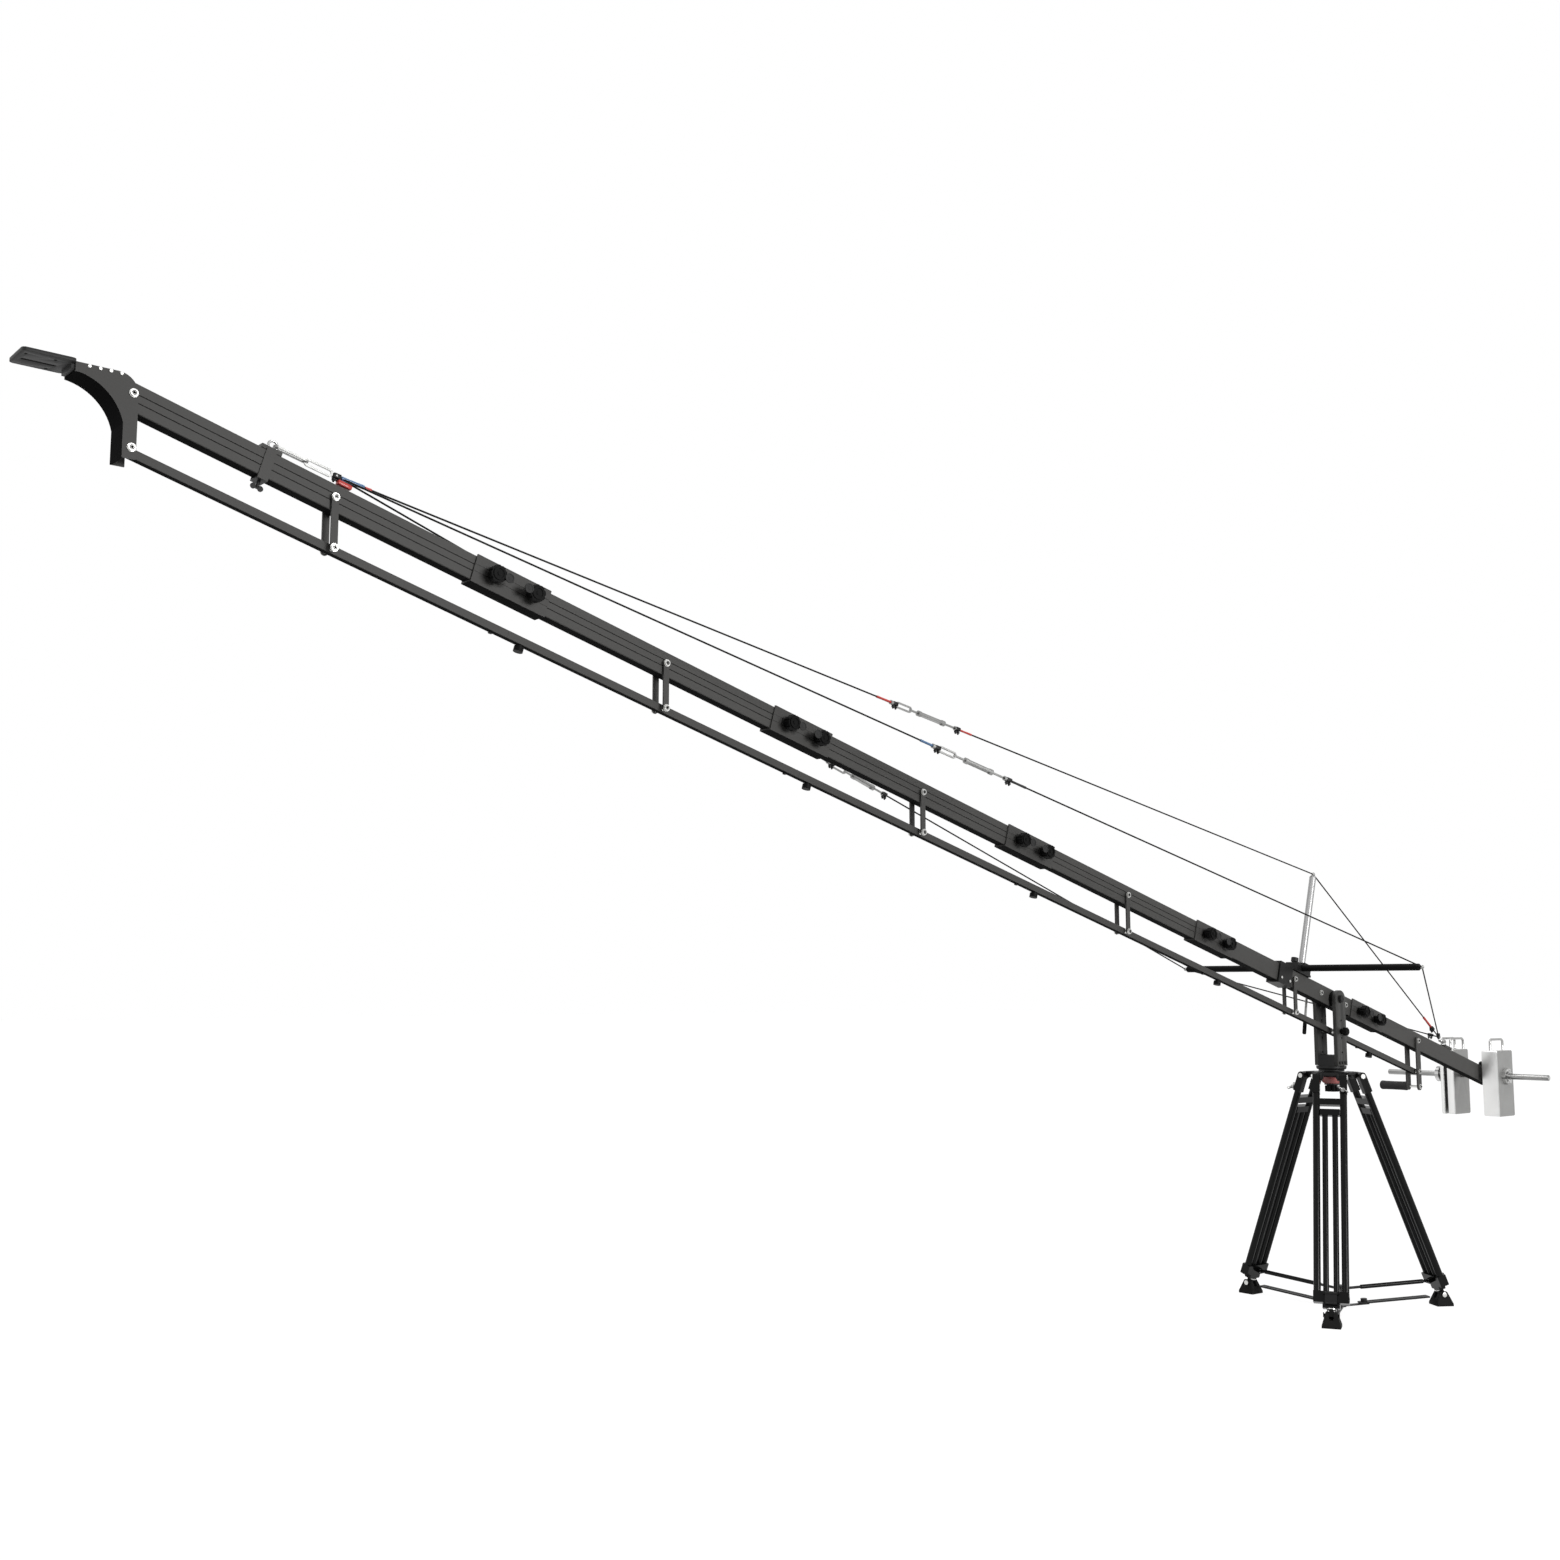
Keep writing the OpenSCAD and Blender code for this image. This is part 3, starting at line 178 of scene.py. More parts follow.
class NodeTree:
    """The nodes of a material or a world."""

    def __init__(self, owner):
        owner.use_nodes = True
        self.nodes = owner.node_tree.nodes
        self.links = owner.node_tree.links

    def node(self, kind, settings=None, values=None):
        """A new node, with its settings and then the values or wires of its sockets."""
        made = self.nodes.new(kind)
        for key, value in (settings or {}).items():
            setattr(made, key, value)
        for key, value in (values or {}).items():
            self.feed(made.inputs[key], value)
        return made

    def feed(self, socket, value):
        """Links a wire to a socket, or sets the socket's value."""
        if isinstance(value, Wire):
            self.links.new(value.socket, socket)
        elif isinstance(value, (tuple, list)) and len(value) == 3 and len(socket.default_value) == 4:
            socket.default_value = (*value, 1.0)
        elif isinstance(value, (int, float)) and hasattr(socket.default_value, "__len__"):
            socket.default_value = [value] * len(socket.default_value)
        else:
            socket.default_value = value

    def eye_rays(self):
        """Wires that are 1 for rays that come straight from the camera, off a gloss or through glass."""
        rays = self.node("ShaderNodeLightPath").outputs
        return [Wire(self, rays[name]) for name in ("Is Camera Ray", "Is Glossy Ray", "Is Transmission Ray")]


class Finish(NodeTree):
    """A material whose colour, roughness and bump come from nodes on Object coordinates."""

    def __init__(self, name, **surface):
        self.material = bpy.data.materials.new(name)
        super().__init__(self.material)
        self.shader = self.nodes["Principled BSDF"]
        for socket, value in surface.items():
            self.put(socket.replace("_", " "), value)
        self.place = Wire(self, self.node("ShaderNodeTexCoord").outputs["Object"], True)

    def put(self, socket, value):
        self.feed(self.shader.inputs[socket], value)

    def turned(self, angles, scale):
        """Object coordinates turned by angles, then stretched by scale."""
        values = {"Vector": self.place, "Rotation": angles}
        made = self.node("ShaderNodeMapping", {"vector_type": "TEXTURE"}, values)
        stretch = self.node("ShaderNodeCombineXYZ", {}, {0: scale[0], 1: scale[1], 2: scale[2]})
        return Wire(self, made.outputs[0], True) * Wire(self, stretch.outputs[0], True)

    def noise(self, where, scale, detail=3.0):
        """Soft clouds, or lines where the coordinates are stretched."""
        values = {"Vector": where, "Scale": scale, "Detail": detail, "Roughness": 0.55}
        return Wire(self, self.node("ShaderNodeTexNoise", {}, values).outputs["Fac"])

    def cells(self, where, scale):
        """Distance from the middles of small cells."""
        made = self.node("ShaderNodeTexVoronoi", {"feature": "F1"}, {"Vector": where, "Scale": scale})
        return Wire(self, made.outputs["Distance"])

    def bands(self, direction, scale, distortion=0.0):
        """Even bands, such as yarns or the strands of a rope."""
        settings = {"wave_type": "BANDS", "bands_direction": direction}
        values = {"Vector": self.place, "Scale": scale, "Distortion": distortion}
        return Wire(self, self.node("ShaderNodeTexWave", settings, values).outputs["Fac"])

    def mixed(self, factor, low, high):
        """A colour between low and high."""
        made = self.node("ShaderNodeMix", {"data_type": "RGBA"}, {"Factor": factor, 6: low, 7: high})
        return Wire(self, made.outputs[2], True)

    def raised(self, height, strength, distance):
        """A bump from a height."""
        values = {"Height": height, "Strength": strength, "Distance": distance}
        self.put("Normal", Wire(self, self.node("ShaderNodeBump", {}, values).outputs[0], True))


def drawn_metal(name, dark, pale, turn, metallic, rough, streak=900.0, bump=0.06, gloss=0.25,
                contrast=(0.2, 0.8)):
    """Metal with fine lines along its length, set by how the coordinates are turned."""
    finish = Finish(name, Metallic=metallic, Specular_IOR_Level=gloss)
    along = finish.turned(turn, (0.02, 1.0, 1.0))
    lines = finish.noise(along, streak, 2.0).over(*contrast)
    cloud = finish.noise(finish.place, 7.0, 3.0)
    finish.put("Base Color", finish.mixed(lines * 0.55 + cloud * 0.45, dark, pale))
    finish.put("Roughness", lines * 0.12 + cloud * 0.1 + (rough - 0.11))
    finish.raised(lines, bump, 0.0003)
    return finish.material


def cast_finish(name, dark, pale, metallic, rough, speck=1400.0, bump=0.12, gloss=0.2):
    """Painted or blasted metal: a fine even grain with faint clouds and rubbed spots."""
    finish = Finish(name, Metallic=metallic, Specular_IOR_Level=gloss)
    grain = finish.noise(finish.place, speck, 2.0)
    cloud = finish.noise(finish.place, 9.0, 4.0)
    rubbed = finish.noise(finish.place, 60.0, 5.0).over(0.66, 0.78)
    finish.put("Base Color", finish.mixed(grain * 0.4 + cloud * 0.5 + rubbed * 0.3, dark, pale))
    finish.put("Roughness", grain * 0.1 + cloud * 0.12 - rubbed * 0.08 + (rough - 0.1))
    finish.raised(grain, bump, 0.0002)
    return finish.material


def bare_metal(name, dark, pale, rough):
    """Turned or polished steel with small scratches."""
    finish = Finish(name, Metallic=1.0)
    scratch = finish.noise(finish.turned((0.3, 0.2, 0.5), (0.15, 1.0, 1.0)), 260.0, 4.0)
    cloud = finish.noise(finish.place, 24.0, 2.0)
    finish.put("Base Color", finish.mixed(scratch * 0.5 + cloud * 0.5, dark, pale))
    finish.put("Roughness", scratch * 0.14 + (rough - 0.07))
    finish.raised(scratch, 0.05, 0.0002)
    return finish.material


def ground_steel(name, dark, pale, metallic):
    """Ground plate with crossing grind marks and handling stains."""
    finish = Finish(name, Metallic=metallic)
    grind = finish.noise(finish.turned((0.0, 0.0, 0.0), (0.04, 1.0, 0.9)), 700.0, 3.0)
    cross = finish.noise(finish.turned((0.0, 0.6, 0.0), (0.06, 1.0, 1.0)), 420.0, 2.0)
    stain = finish.noise(finish.place, 11.0, 5.0).over(0.4, 0.75)
    finish.put("Base Color", finish.mixed(grind * 0.5 + cross * 0.2 + stain * 0.3, dark, pale))
    finish.put("Roughness", grind * 0.15 + stain * 0.12 + 0.3)
    finish.raised(grind * 0.7 + cross * 0.3, 0.08, 0.0003)
    return finish.material


def moulded(name, dark, pale, rough, bump, grains):
    """Moulded plastic or rubber with a spark-eroded grain."""
    finish = Finish(name, Specular_IOR_Level=0.06)
    grain = finish.cells(finish.place, grains)
    cloud = finish.noise(finish.place, 18.0, 3.0)
    finish.put("Base Color", finish.mixed(grain * 0.3 + cloud * 0.6, dark, pale))
    finish.put("Roughness", grain * 0.15 + cloud * 0.1 + (rough - 0.1))
    finish.raised(grain, bump, 0.0002)
    return finish.material


def foam(name, dark, pale):
    """Closed cell foam with small pores."""
    finish = Finish(name, Sheen_Weight=0.25)
    pores = finish.cells(finish.place, 520.0)
    fine = finish.noise(finish.place, 1500.0, 2.0)
    finish.put("Base Color", finish.mixed(pores * 0.7 + fine * 0.3, dark, pale))
    finish.put("Roughness", pores * 0.1 + 0.85)
    finish.raised(pores * 0.7 + fine * 0.3, 0.5, 0.0006)
    return finish.material


def webbing(name, dark, pale):
    """Woven tape, its yarns crossing."""
    finish = Finish(name, Sheen_Weight=0.2)
    yarn = finish.bands("Z", 420.0, 1.5) * 0.6 + finish.bands("DIAGONAL", 380.0) * 0.4
    finish.put("Base Color", finish.mixed(yarn, dark, pale))
    finish.put("Roughness", yarn * 0.1 + 0.75)
    finish.raised(yarn, 0.4, 0.0004)
    return finish.material


def sleeve_plastic(name, dark, pale):
    """Shrunk plastic sleeve, slightly crinkled."""
    finish = Finish(name, Coat_Weight=0.2)
    crinkle = finish.noise(finish.place, 160.0, 3.0)
    finish.put("Base Color", finish.mixed(crinkle, dark, pale))
    finish.put("Roughness", crinkle * 0.2 + 0.3)
    finish.raised(crinkle, 0.2, 0.0005)
    return finish.material


def stay_rope(name, dark, pale):
    """Black coated wire rope with bands for its strands."""
    finish = Finish(name, Specular_IOR_Level=0.1)
    lay = finish.bands("DIAGONAL", 260.0, 0.6)
    finish.put("Base Color", finish.mixed(lay, dark, pale))
    finish.put("Roughness", lay * 0.2 + 0.4)
    finish.raised(lay, 0.5, 0.0004)
    return finish.material


def grey(level):
    return (level, level, level)


# Turns that lay the lines of drawn metal along the boom, up, across and along the mast
QUARTER_TURN = math.radians(90)
ALONG_BOOM = (0.0, INCLINE, 0.0)
UPRIGHT = (0.0, QUARTER_TURN, 0.0)
ACROSS = (0.0, 0.0, QUARTER_TURN)
MASTWARD = (0.0, INCLINE + QUARTER_TURN, 0.0)

# Drawn tubes and bars
anodised_boom = drawn_metal("anodised_boom", (0.052, 0.051, 0.049), (0.092, 0.09, 0.086), ALONG_BOOM,
                            0.0, 0.5)
anodised_link = drawn_metal("anodised_link", (0.045, 0.044, 0.042), (0.085, 0.083, 0.08), ALONG_BOOM,
                            0.0, 0.5)
# Painted shade: the post's anodised grey is set darker than the boom's, for the shade that falls on it
post_grey_and_painted_shade = drawn_metal("post_grey_and_painted_shade", (0.034, 0.034, 0.032), (0.068, 0.067, 0.064), UPRIGHT,
                            0.0, 0.45)
black_tube = drawn_metal("black_tube", grey(0.002), grey(0.006), UPRIGHT, 0.0, 0.19, 600.0, 0.0, 0.14)
black_cross_tube = drawn_metal("black_cross_tube", grey(0.005), grey(0.016), ACROSS, 0.0, 0.5, gloss=0.04)
mast_tube = drawn_metal("mast_tube", (0.2, 0.2, 0.202), grey(0.5), MASTWARD,
                        0.7, 0.34, 140.0, 0.01, 0.4, (0.3, 0.7))
bar_steel = drawn_metal("bar_steel", grey(0.1), (0.75, 0.75, 0.74), ACROSS,
                        1.0, 0.22, 90.0, 0.02, 0.5, (0.42, 0.58))

# Painted and blasted metal
black_cast = cast_finish("black_cast", grey(0.005), grey(0.016), 0.0, 0.42)
plate_black = cast_finish("plate_black", grey(0.018), (0.04, 0.04, 0.039), 0.0, 0.5)
# Painted shade: near black for the hexagon sockets in the bolt heads, the mouths set in them, and the web
# between the nose's side plates
painted_shade_black = cast_finish("painted_shade_black", grey(0.003), grey(0.008), 0.0, 0.7, gloss=0.01)
# Painted shade: darker grey in the grooves along the sections' and couplers' sides
painted_groove_shade = cast_finish("painted_groove_shade", (0.014, 0.014, 0.013), (0.026, 0.026, 0.025), 0.0, 0.6, gloss=0.05)
# Painted shade: near black on the downward faces of the boom sections, couplers and lower rod, for the shade
# under them
painted_underside_shade = cast_finish("painted_underside_shade", grey(0.006), grey(0.018), 0.0, 0.75, gloss=0.02)
ball_red = cast_finish("ball_red", (0.62, 0.13, 0.12), (0.82, 0.28, 0.26), 0.0, 0.3, 700.0, 0.05, 0.5)
lever_grey = cast_finish("lever_grey", grey(0.2), (0.36, 0.36, 0.35), 0.3, 0.4)

# Bare and ground steel
bright_steel = bare_metal("bright_steel", (0.42, 0.42, 0.41), (0.74, 0.74, 0.72), 0.24)
dull_steel = bare_metal("dull_steel", grey(0.14), (0.42, 0.42, 0.41), 0.32)
handle_steel = bare_metal("handle_steel", grey(0.2), (0.55, 0.55, 0.54), 0.2)
weight_edge = ground_steel("weight_edge", (0.78, 0.78, 0.77), (0.95, 0.95, 0.94), 0.92)
# Painted shade: the weights' big faces are a darker copy of the edges' ground steel
painted_shade_on_weights = ground_steel("painted_shade_on_weights", (0.27, 0.27, 0.265), (0.43, 0.43, 0.42), 0.75)

# Plastic, rubber, foam and rope
knob_black = moulded("knob_black", grey(0.003), grey(0.011), 0.42, 0.015, 2400.0)
knob_grey = moulded("knob_grey", grey(0.04), grey(0.075), 0.36, 0.015, 2400.0)
shoe_rubber = moulded("shoe_rubber", grey(0.008), (0.028, 0.028, 0.027), 0.6, 0.3, 900.0)
grip_foam = foam("grip_foam", grey(0.006), grey(0.028))
strap_black = webbing("strap_black", grey(0.006), grey(0.03))
red_sleeve = sleeve_plastic("red_sleeve", (0.5, 0.02, 0.02), (0.75, 0.06, 0.04))
blue_sleeve = sleeve_plastic("blue_sleeve", (0.03, 0.1, 0.26), (0.12, 0.26, 0.46))
wire_rope = stay_rope("wire_rope", grey(0.003), grey(0.012))


# Finishes on the CAD nodes
def paint(mesh, base, others):
    """Gives a mesh its finish and others (finish, test); a test reads a face's centre and normal."""
    mesh.materials.clear()
    mesh.materials.append(base)
    for finish, _ in others:
        mesh.materials.append(finish)
    for face in mesh.polygons:
        face.material_index = 0
        for number, (_, test) in enumerate(others, 1):
            if test(face.center, face.normal):
                face.material_index = number


def dress(node, base, *others):
    paint(frame["nodes"][node].data, base, others)


# Lines across the crane that bolts and the weight bar follow
BOOM_BOLTS = [boom_at(s).translation for s in LINK_STATIONS + PIVOT_BOLT_STATIONS + [NOSE_STATION]]
ROD_BOLTS = [bolt - Vector((0, 0, ROD_DROP)) * MM for bolt in BOOM_BOLTS]
NOSE_ROD_BOLT = ROD_BOLTS[-1]
HANDLE_BOLT = boom_at(LINK_STATIONS[-1]).translation - Vector((0, 0, HANDLE_DROP)) * MM
BAR_LINE = boom_at(BAR_STATION).translation
BOOM_DOWN = Vector((-math.sin(INCLINE), 0.0, -math.cos(INCLINE)))

# Where a node's second finish starts: distances from the crane's middle plane, and from a bolt's line
SOCKET_FROM = 21
SOCKET_REACH = 3.9
LINK_INSIDE = 20.8
LINK_OUTSIDE = 26.55
NOSE_INSIDE = 32.8
NOSE_OUTSIDE = 38.05
NOSE_SPACER_REACH = 9
KNOB_BACK = 23.5
CLAMP_BOLTS_FROM = 27.4
AXLE_CAP_FROM = 50.2
HINGE_PINS_FROM = 62.1
ANKLE_PIN_FROM = 28.5
ANKLE_PIN_REACH = 9.5

# And heights, of which the boom's are up from its middle line and the rest from the floor
ANCHOR_TOP = 44
ANCHOR_FOOT = -36
CLAMP_BOLTS_BELOW = 30
AXLE_CAP_ABOVE = 1100
LEVER_GRIP_BELOW = 1070
BALL_PLATE_ABOVE = 879.5
BALL_WASHER_BELOW = 840.5
BALL_STEM_BELOW = 833
HINGE_PINS_BELOW = 880
HINGE_PINS_OUT = 70
HANDLE_ABOVE_BAR = 108.5


def away(point, line):
    """Distance of a point from a line across the crane."""
    return math.hypot(point.x - line.x, point.z - line.z) / MM


def aside(point):
    """Distance of a point from the crane's middle plane."""
    return abs(point.y) / MM


def on_groove_line(up):
    return abs(abs(up) - GROOVE_UP) < 1.5


def in_groove(c, n):
    """A face in one of the grooves along a section's sides."""
    _, across, up = in_boom(c)
    return on_groove_line(up) and HALF_WIDTH - 2 < abs(across) < HALF_WIDTH - 0.05


def in_coupler_groove(c, n):
    """A face in one of the grooves along a coupler's sides."""
    _, across, up = in_boom(c)
    outside = HALF_WIDTH + COUPLER_WALL
    return on_groove_line(up) and outside - 0.8 < abs(across) < outside + 0.2


def underneath(c, n):
    return n.dot(BOOM_DOWN) > 0.95


def in_socket(c, n):
    """A face of the hexagon socket in a bolt's head."""
    bolts = BOOM_BOLTS + ROD_BOLTS + [HANDLE_BOLT]
    return aside(c) > SOCKET_FROM and any(away(c, bolt) < SOCKET_REACH for bolt in bolts)


def above_boom(height):
    return lambda c, n: in_boom(c).z > height


def below_boom(height):
    return lambda c, n: in_boom(c).z < height


def knob_shank(c, n):
    """The stud behind a clamp knob, and its nut on the far side."""
    return c.y / MM > -KNOB_BACK


def clamp_bolts(c, n):
    return aside(c) > CLAMP_BOLTS_FROM and in_boom(c).z < CLAMP_BOLTS_BELOW


def link_steel(c, n):
    """Bolt heads outside a link's bars, and spacers between them."""
    return aside(c) > LINK_OUTSIDE or aside(c) < LINK_INSIDE


def nose_steel(c, n):
    """Screw heads outside the side plates, and the rod's bolt between them."""
    return aside(c) > NOSE_OUTSIDE or aside(c) < NOSE_INSIDE and away(c, NOSE_ROD_BOLT) < NOSE_SPACER_REACH


def nose_web(c, n):
    """The web between the side plates, black all over as painted shade."""
    return aside(c) < NOSE_INSIDE and not nose_steel(c, n)


def axle_cap(c, n):
    return c.y / MM < -AXLE_CAP_FROM and c.z / MM > AXLE_CAP_ABOVE


def lever_grip(c, n):
    return c.z / MM < LEVER_GRIP_BELOW


def ball_black(c, n):
    """The plate on the half ball, its neck and pan spigot, and the washer under the ball."""
    return c.z / MM > BALL_PLATE_ABOVE or BALL_STEM_BELOW < c.z / MM < BALL_WASHER_BELOW


def ball_stem(c, n):
    return c.z / MM < BALL_STEM_BELOW


def hinge_pins(c, n):
    """The ends of the pins in the crown's lugs."""
    places = [towards_leg(which, c) for which in LEG_DIRS]
    return any(abs(place.y) > HINGE_PINS_FROM and place.z < HINGE_PINS_BELOW and place.x > HINGE_PINS_OUT
               for place in places)


def ankle_pin(which):
    """Test for the ends of the pin that a shoe hangs on."""
    def on_pin(c, n):
        place = towards_leg(which, c)
        reach = math.hypot(place.x - ANKLE.x, place.z - ANKLE.z)
        return abs(place.y) > ANKLE_PIN_FROM and reach < ANKLE_PIN_REACH
    return on_pin


def weight_side(c, n):
    return abs(n.y) > 0.7


def weight_handle(c, n):
    return (c.z - BAR_LINE.z) / MM > HANDLE_ABOVE_BAR


# Boom, links and nose: their grooves, hexagon sockets and undersides, and the nose's web, get painted shade
for number in range(1, 7):
    dress("boom_section_%d" % number, anodised_boom, (painted_groove_shade, in_groove), (painted_underside_shade, underneath))
    dress("link_%d" % number, anodised_link, (bright_steel, link_steel), (painted_shade_black, in_socket))
dress("section_couplers", anodised_link, (painted_groove_shade, in_coupler_groove), (painted_underside_shade, underneath))
dress("coupler_knobs", knob_black, (bright_steel, knob_shank))
dress("link_bolts", bright_steel, (painted_shade_black, in_socket))
dress("lower_rod", anodised_link, (painted_underside_shade, underneath))
dress("rod_thumbscrews", knob_black)
dress("nose_bracket", anodised_link, (painted_shade_black, nose_web), (bright_steel, nose_steel),
      (painted_shade_black, in_socket))

# Stays, outrigger and weight bar
dress("stay_anchors", anodised_boom, (handle_steel, above_boom(ANCHOR_TOP)),
      (black_cast, below_boom(ANCHOR_FOOT)))
dress("stay_wires", wire_rope)
dress("stay_fittings", dull_steel)
dress("mast", mast_tube)
dress("outrigger_arm", black_cross_tube)
dress("outrigger_clamp", black_cast, (bright_steel, clamp_bolts))
dress("weight_bar", bar_steel)
dress("weight_lock_knob", knob_black, (bright_steel, below_boom(HALF_HEIGHT)))

# Post and tripod
dress("pivot_bearings", knob_black)
dress("tilt_axle", bright_steel, (black_cast, axle_cap))
dress("rod_pivot_knob", knob_black)
dress("tilt_brake_lever", lever_grey, (knob_black, lever_grip))
dress("levelling_ball", ball_red, (black_cast, ball_black), (bright_steel, ball_stem))
dress("tie_down_knob", knob_black)
dress("tripod_crown", black_cast, (bright_steel, hinge_pins))
dress("spreader_hub", black_cast)
for which in LEG_DIRS:
    for node in ("leg_upper_", "leg_lower_", "spreader_rod_"):
        dress(node + which, black_tube)
    for node in ("leg_lock_", "spreader_plate_"):
        dress(node + which, black_cast)


# Modelling
def clear_selection():
    bpy.ops.object.select_all(action="DESELECT")


def pick(obj):
    clear_selection()
    obj.select_set(True)
    bpy.context.view_layer.objects.active = obj


def eased(node, width, base, others=(), angle=35.0):
    """Stands for a node: its own shape with the sharp edges rounded."""
    source = frame["nodes"][node]
    piece = bpy.data.objects.new(node + "_eased", source.data.copy())
    bpy.context.scene.collection.objects.link(piece)
    pick(piece)
    bpy.ops.object.mode_set(mode="EDIT")
    bpy.ops.mesh.select_all(action="SELECT")
    bpy.ops.mesh.remove_doubles(threshold=0.00001)
    bpy.ops.mesh.dissolve_limited(angle_limit=math.radians(1.0))
    bpy.ops.mesh.customdata_custom_splitnormals_clear()
    bpy.ops.object.mode_set(mode="OBJECT")
    edge = piece.modifiers.new("edge", "BEVEL")
    edge.width = width * MM
    edge.segments = 2
    edge.limit_method = "ANGLE"
    edge.angle_limit = math.radians(angle)
    edge.use_clamp_overlap = True
    bpy.ops.object.modifier_apply(modifier=edge.name)
    bpy.ops.object.shade_smooth_by_angle(angle=math.radians(32))
    paint(piece.data, base, others)
    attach(piece, source["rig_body"])
    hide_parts(node)


def settle():
    """Turns every face outwards and leaves edit mode."""
    bpy.ops.mesh.select_all(action="SELECT")
    bpy.ops.mesh.remove_doubles(threshold=0.00002)
    bpy.ops.mesh.normals_make_consistent(inside=False)
    bpy.ops.object.mode_set(mode="OBJECT")


def turned_part(name, profile, sides):
    """A round part along z, drawn out ring by ring from its first face; profile is (radius, height)."""
    radius, height = profile[0]
    clear_selection()
    bpy.ops.mesh.primitive_circle_add(vertices=sides, radius=radius * MM, fill_type="NGON",
                                      location=(0, 0, height * MM))
    piece = bpy.context.object
    piece.name = name
    bpy.ops.object.transform_apply(location=True, rotation=True, scale=True)
    bpy.ops.object.mode_set(mode="EDIT")
    for wide, high in profile[1:]:
        bpy.ops.mesh.extrude_region_move(TRANSFORM_OT_translate={"value": (0, 0, (high - height) * MM)})
        bpy.ops.transform.resize(value=(wide / radius, wide / radius, 1.0))
        radius, height = wide, high
    settle()
    return piece


def block_part(name, size, at, edge):
    """A block with bevelled edges."""
    clear_selection()
    bpy.ops.mesh.primitive_cube_add(size=1.0, location=Vector(at) * MM, scale=Vector(size) * MM)
    piece = bpy.context.object
    piece.name = name
    bpy.ops.object.transform_apply(location=True, rotation=True, scale=True)
    bpy.ops.object.mode_set(mode="EDIT")
    bpy.ops.mesh.select_all(action="SELECT")
    bpy.ops.mesh.bevel(offset=edge * MM, segments=2, affect="EDGES")
    settle()
    return piece


def joined(name, parts):
    """One piece from several parts."""
    clear_selection()
    for part in parts:
        part.select_set(True)
    bpy.context.view_layer.objects.active = parts[0]
    bpy.ops.object.join()
    parts[0].name = name
    return parts[0]


def turned(piece, matrix):
    """Turns or moves a part within its piece."""
    pick(piece)
    piece.matrix_world = matrix
    bpy.ops.object.transform_apply(location=True, rotation=True, scale=True)
    return piece


def set_down(piece, place, body, finish):
    """Gives a part its place, finish and body."""
    turned(piece, place)
    bpy.ops.object.shade_smooth_by_angle(angle=math.radians(32))
    piece.data.materials.clear()
    piece.data.materials.append(finish)
    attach(piece, body)


def set_of(master, name, places, finish):
    """Copies a part to each (body, matrix); each copy has its own mesh."""
    for number, (body, place) in enumerate(places, 1):
        copy = master.copy()
        copy.data = master.data.copy()
        copy.name = "%s_%d" % (name, number)
        bpy.context.scene.collection.objects.link(copy)
        set_down(copy, place, body, finish)
    bpy.data.objects.remove(master)


def along_line(start, end, distance):
    """Matrix at a distance from the line's start, its z along the line."""
    way = end - start
    turn = way.to_track_quat("Z", "Y").to_matrix().to_4x4()
    return Matrix.Translation(start + way.normalized() * distance * MM) @ turn


# Foam grip on the handle bolt
GRIP_BORE = 6.5
low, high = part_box("rear_grip")
centre = (low + high) / 2
length = (high.y - low.y) / MM
radius = (high.z - low.z) / MM / 2
grip_end = [(GRIP_BORE, 2.5), (GRIP_BORE, 0.4), (radius - 5, 0), (radius - 1.6, 1.2), (radius - 0.2, 4.5),
            (radius, 8), (radius - 0.7, 22)]
other_end = [(wide, length - inwards) for wide, inwards in reversed(grip_end)]
grip = turned_part("foam_grip", grip_end + [(radius - 0.9, length / 2)] + other_end, 40)
set_down(grip, Matrix.Translation((centre.x, low.y, centre.z)) @ TO_FAR, "link_6", grip_foam)
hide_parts("rear_grip")

# Raised rings, at the clamp knobs' outer face. Known fault: the knobs' axes are 60 from
# a coupler's joint and the rings 30, so the rings lie beside their knobs.
RING_OFFSETS = (-30, 30)
KNOB_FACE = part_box("coupler_knobs")[0].y
ring_profile = [(13.2, -0.6), (13.2, 0.9), (12.4, 1.5), (10.4, 1.5), (9.8, 0.9), (9.8, 0.2), (4.2, 0.2),
                (3.4, 0.9), (1.0, 0.9)]
ring_lines = [boom_at(s + offset).translation for s in COUPLER_STATIONS for offset in RING_OFFSETS]
ring_places = [("boom", Matrix.Translation((line.x, KNOB_FACE, line.z)) @ TO_NEAR) for line in ring_lines]
set_of(turned_part("knob_ring", ring_profile, 36), "knob_ring", ring_places, knob_grey)


# Mouths of the sockets in the bolt heads, near black for painted shade in the sockets
def head_face(node, bolt, side):
    """Outermost y of a node's bolt head, on the near side (-1) or the far side (1)."""
    corners = [corner.co for corner in frame["nodes"][node].data.vertices if away(corner.co, bolt) < 9]
    return side * max(side * corner.y for corner in corners)


mouth_profile = [(5.6, -0.4), (5.6, 0.2), (5.2, 0.4), (4.1, 0.4), (3.6, -0.2), (1.2, -0.3)]
heads = [("link_bolts", "boom", bolt) for bolt in BOOM_BOLTS]
heads += [("link_%d" % number, "link_%d" % number, ROD_BOLTS[number - 1]) for number in range(1, 7)]
heads.append(("nose_bracket", "nose", NOSE_ROD_BOLT))
mouth_places = [(body, Matrix.Translation((bolt.x, head_face(node, bolt, side), bolt.z)) @ turn)
                for node, body, bolt in heads for side, turn in ((-1, TO_NEAR), (1, TO_FAR))]
set_of(turned_part("socket_mouth", mouth_profile, 24), "socket_mouth", mouth_places, painted_shade_black)

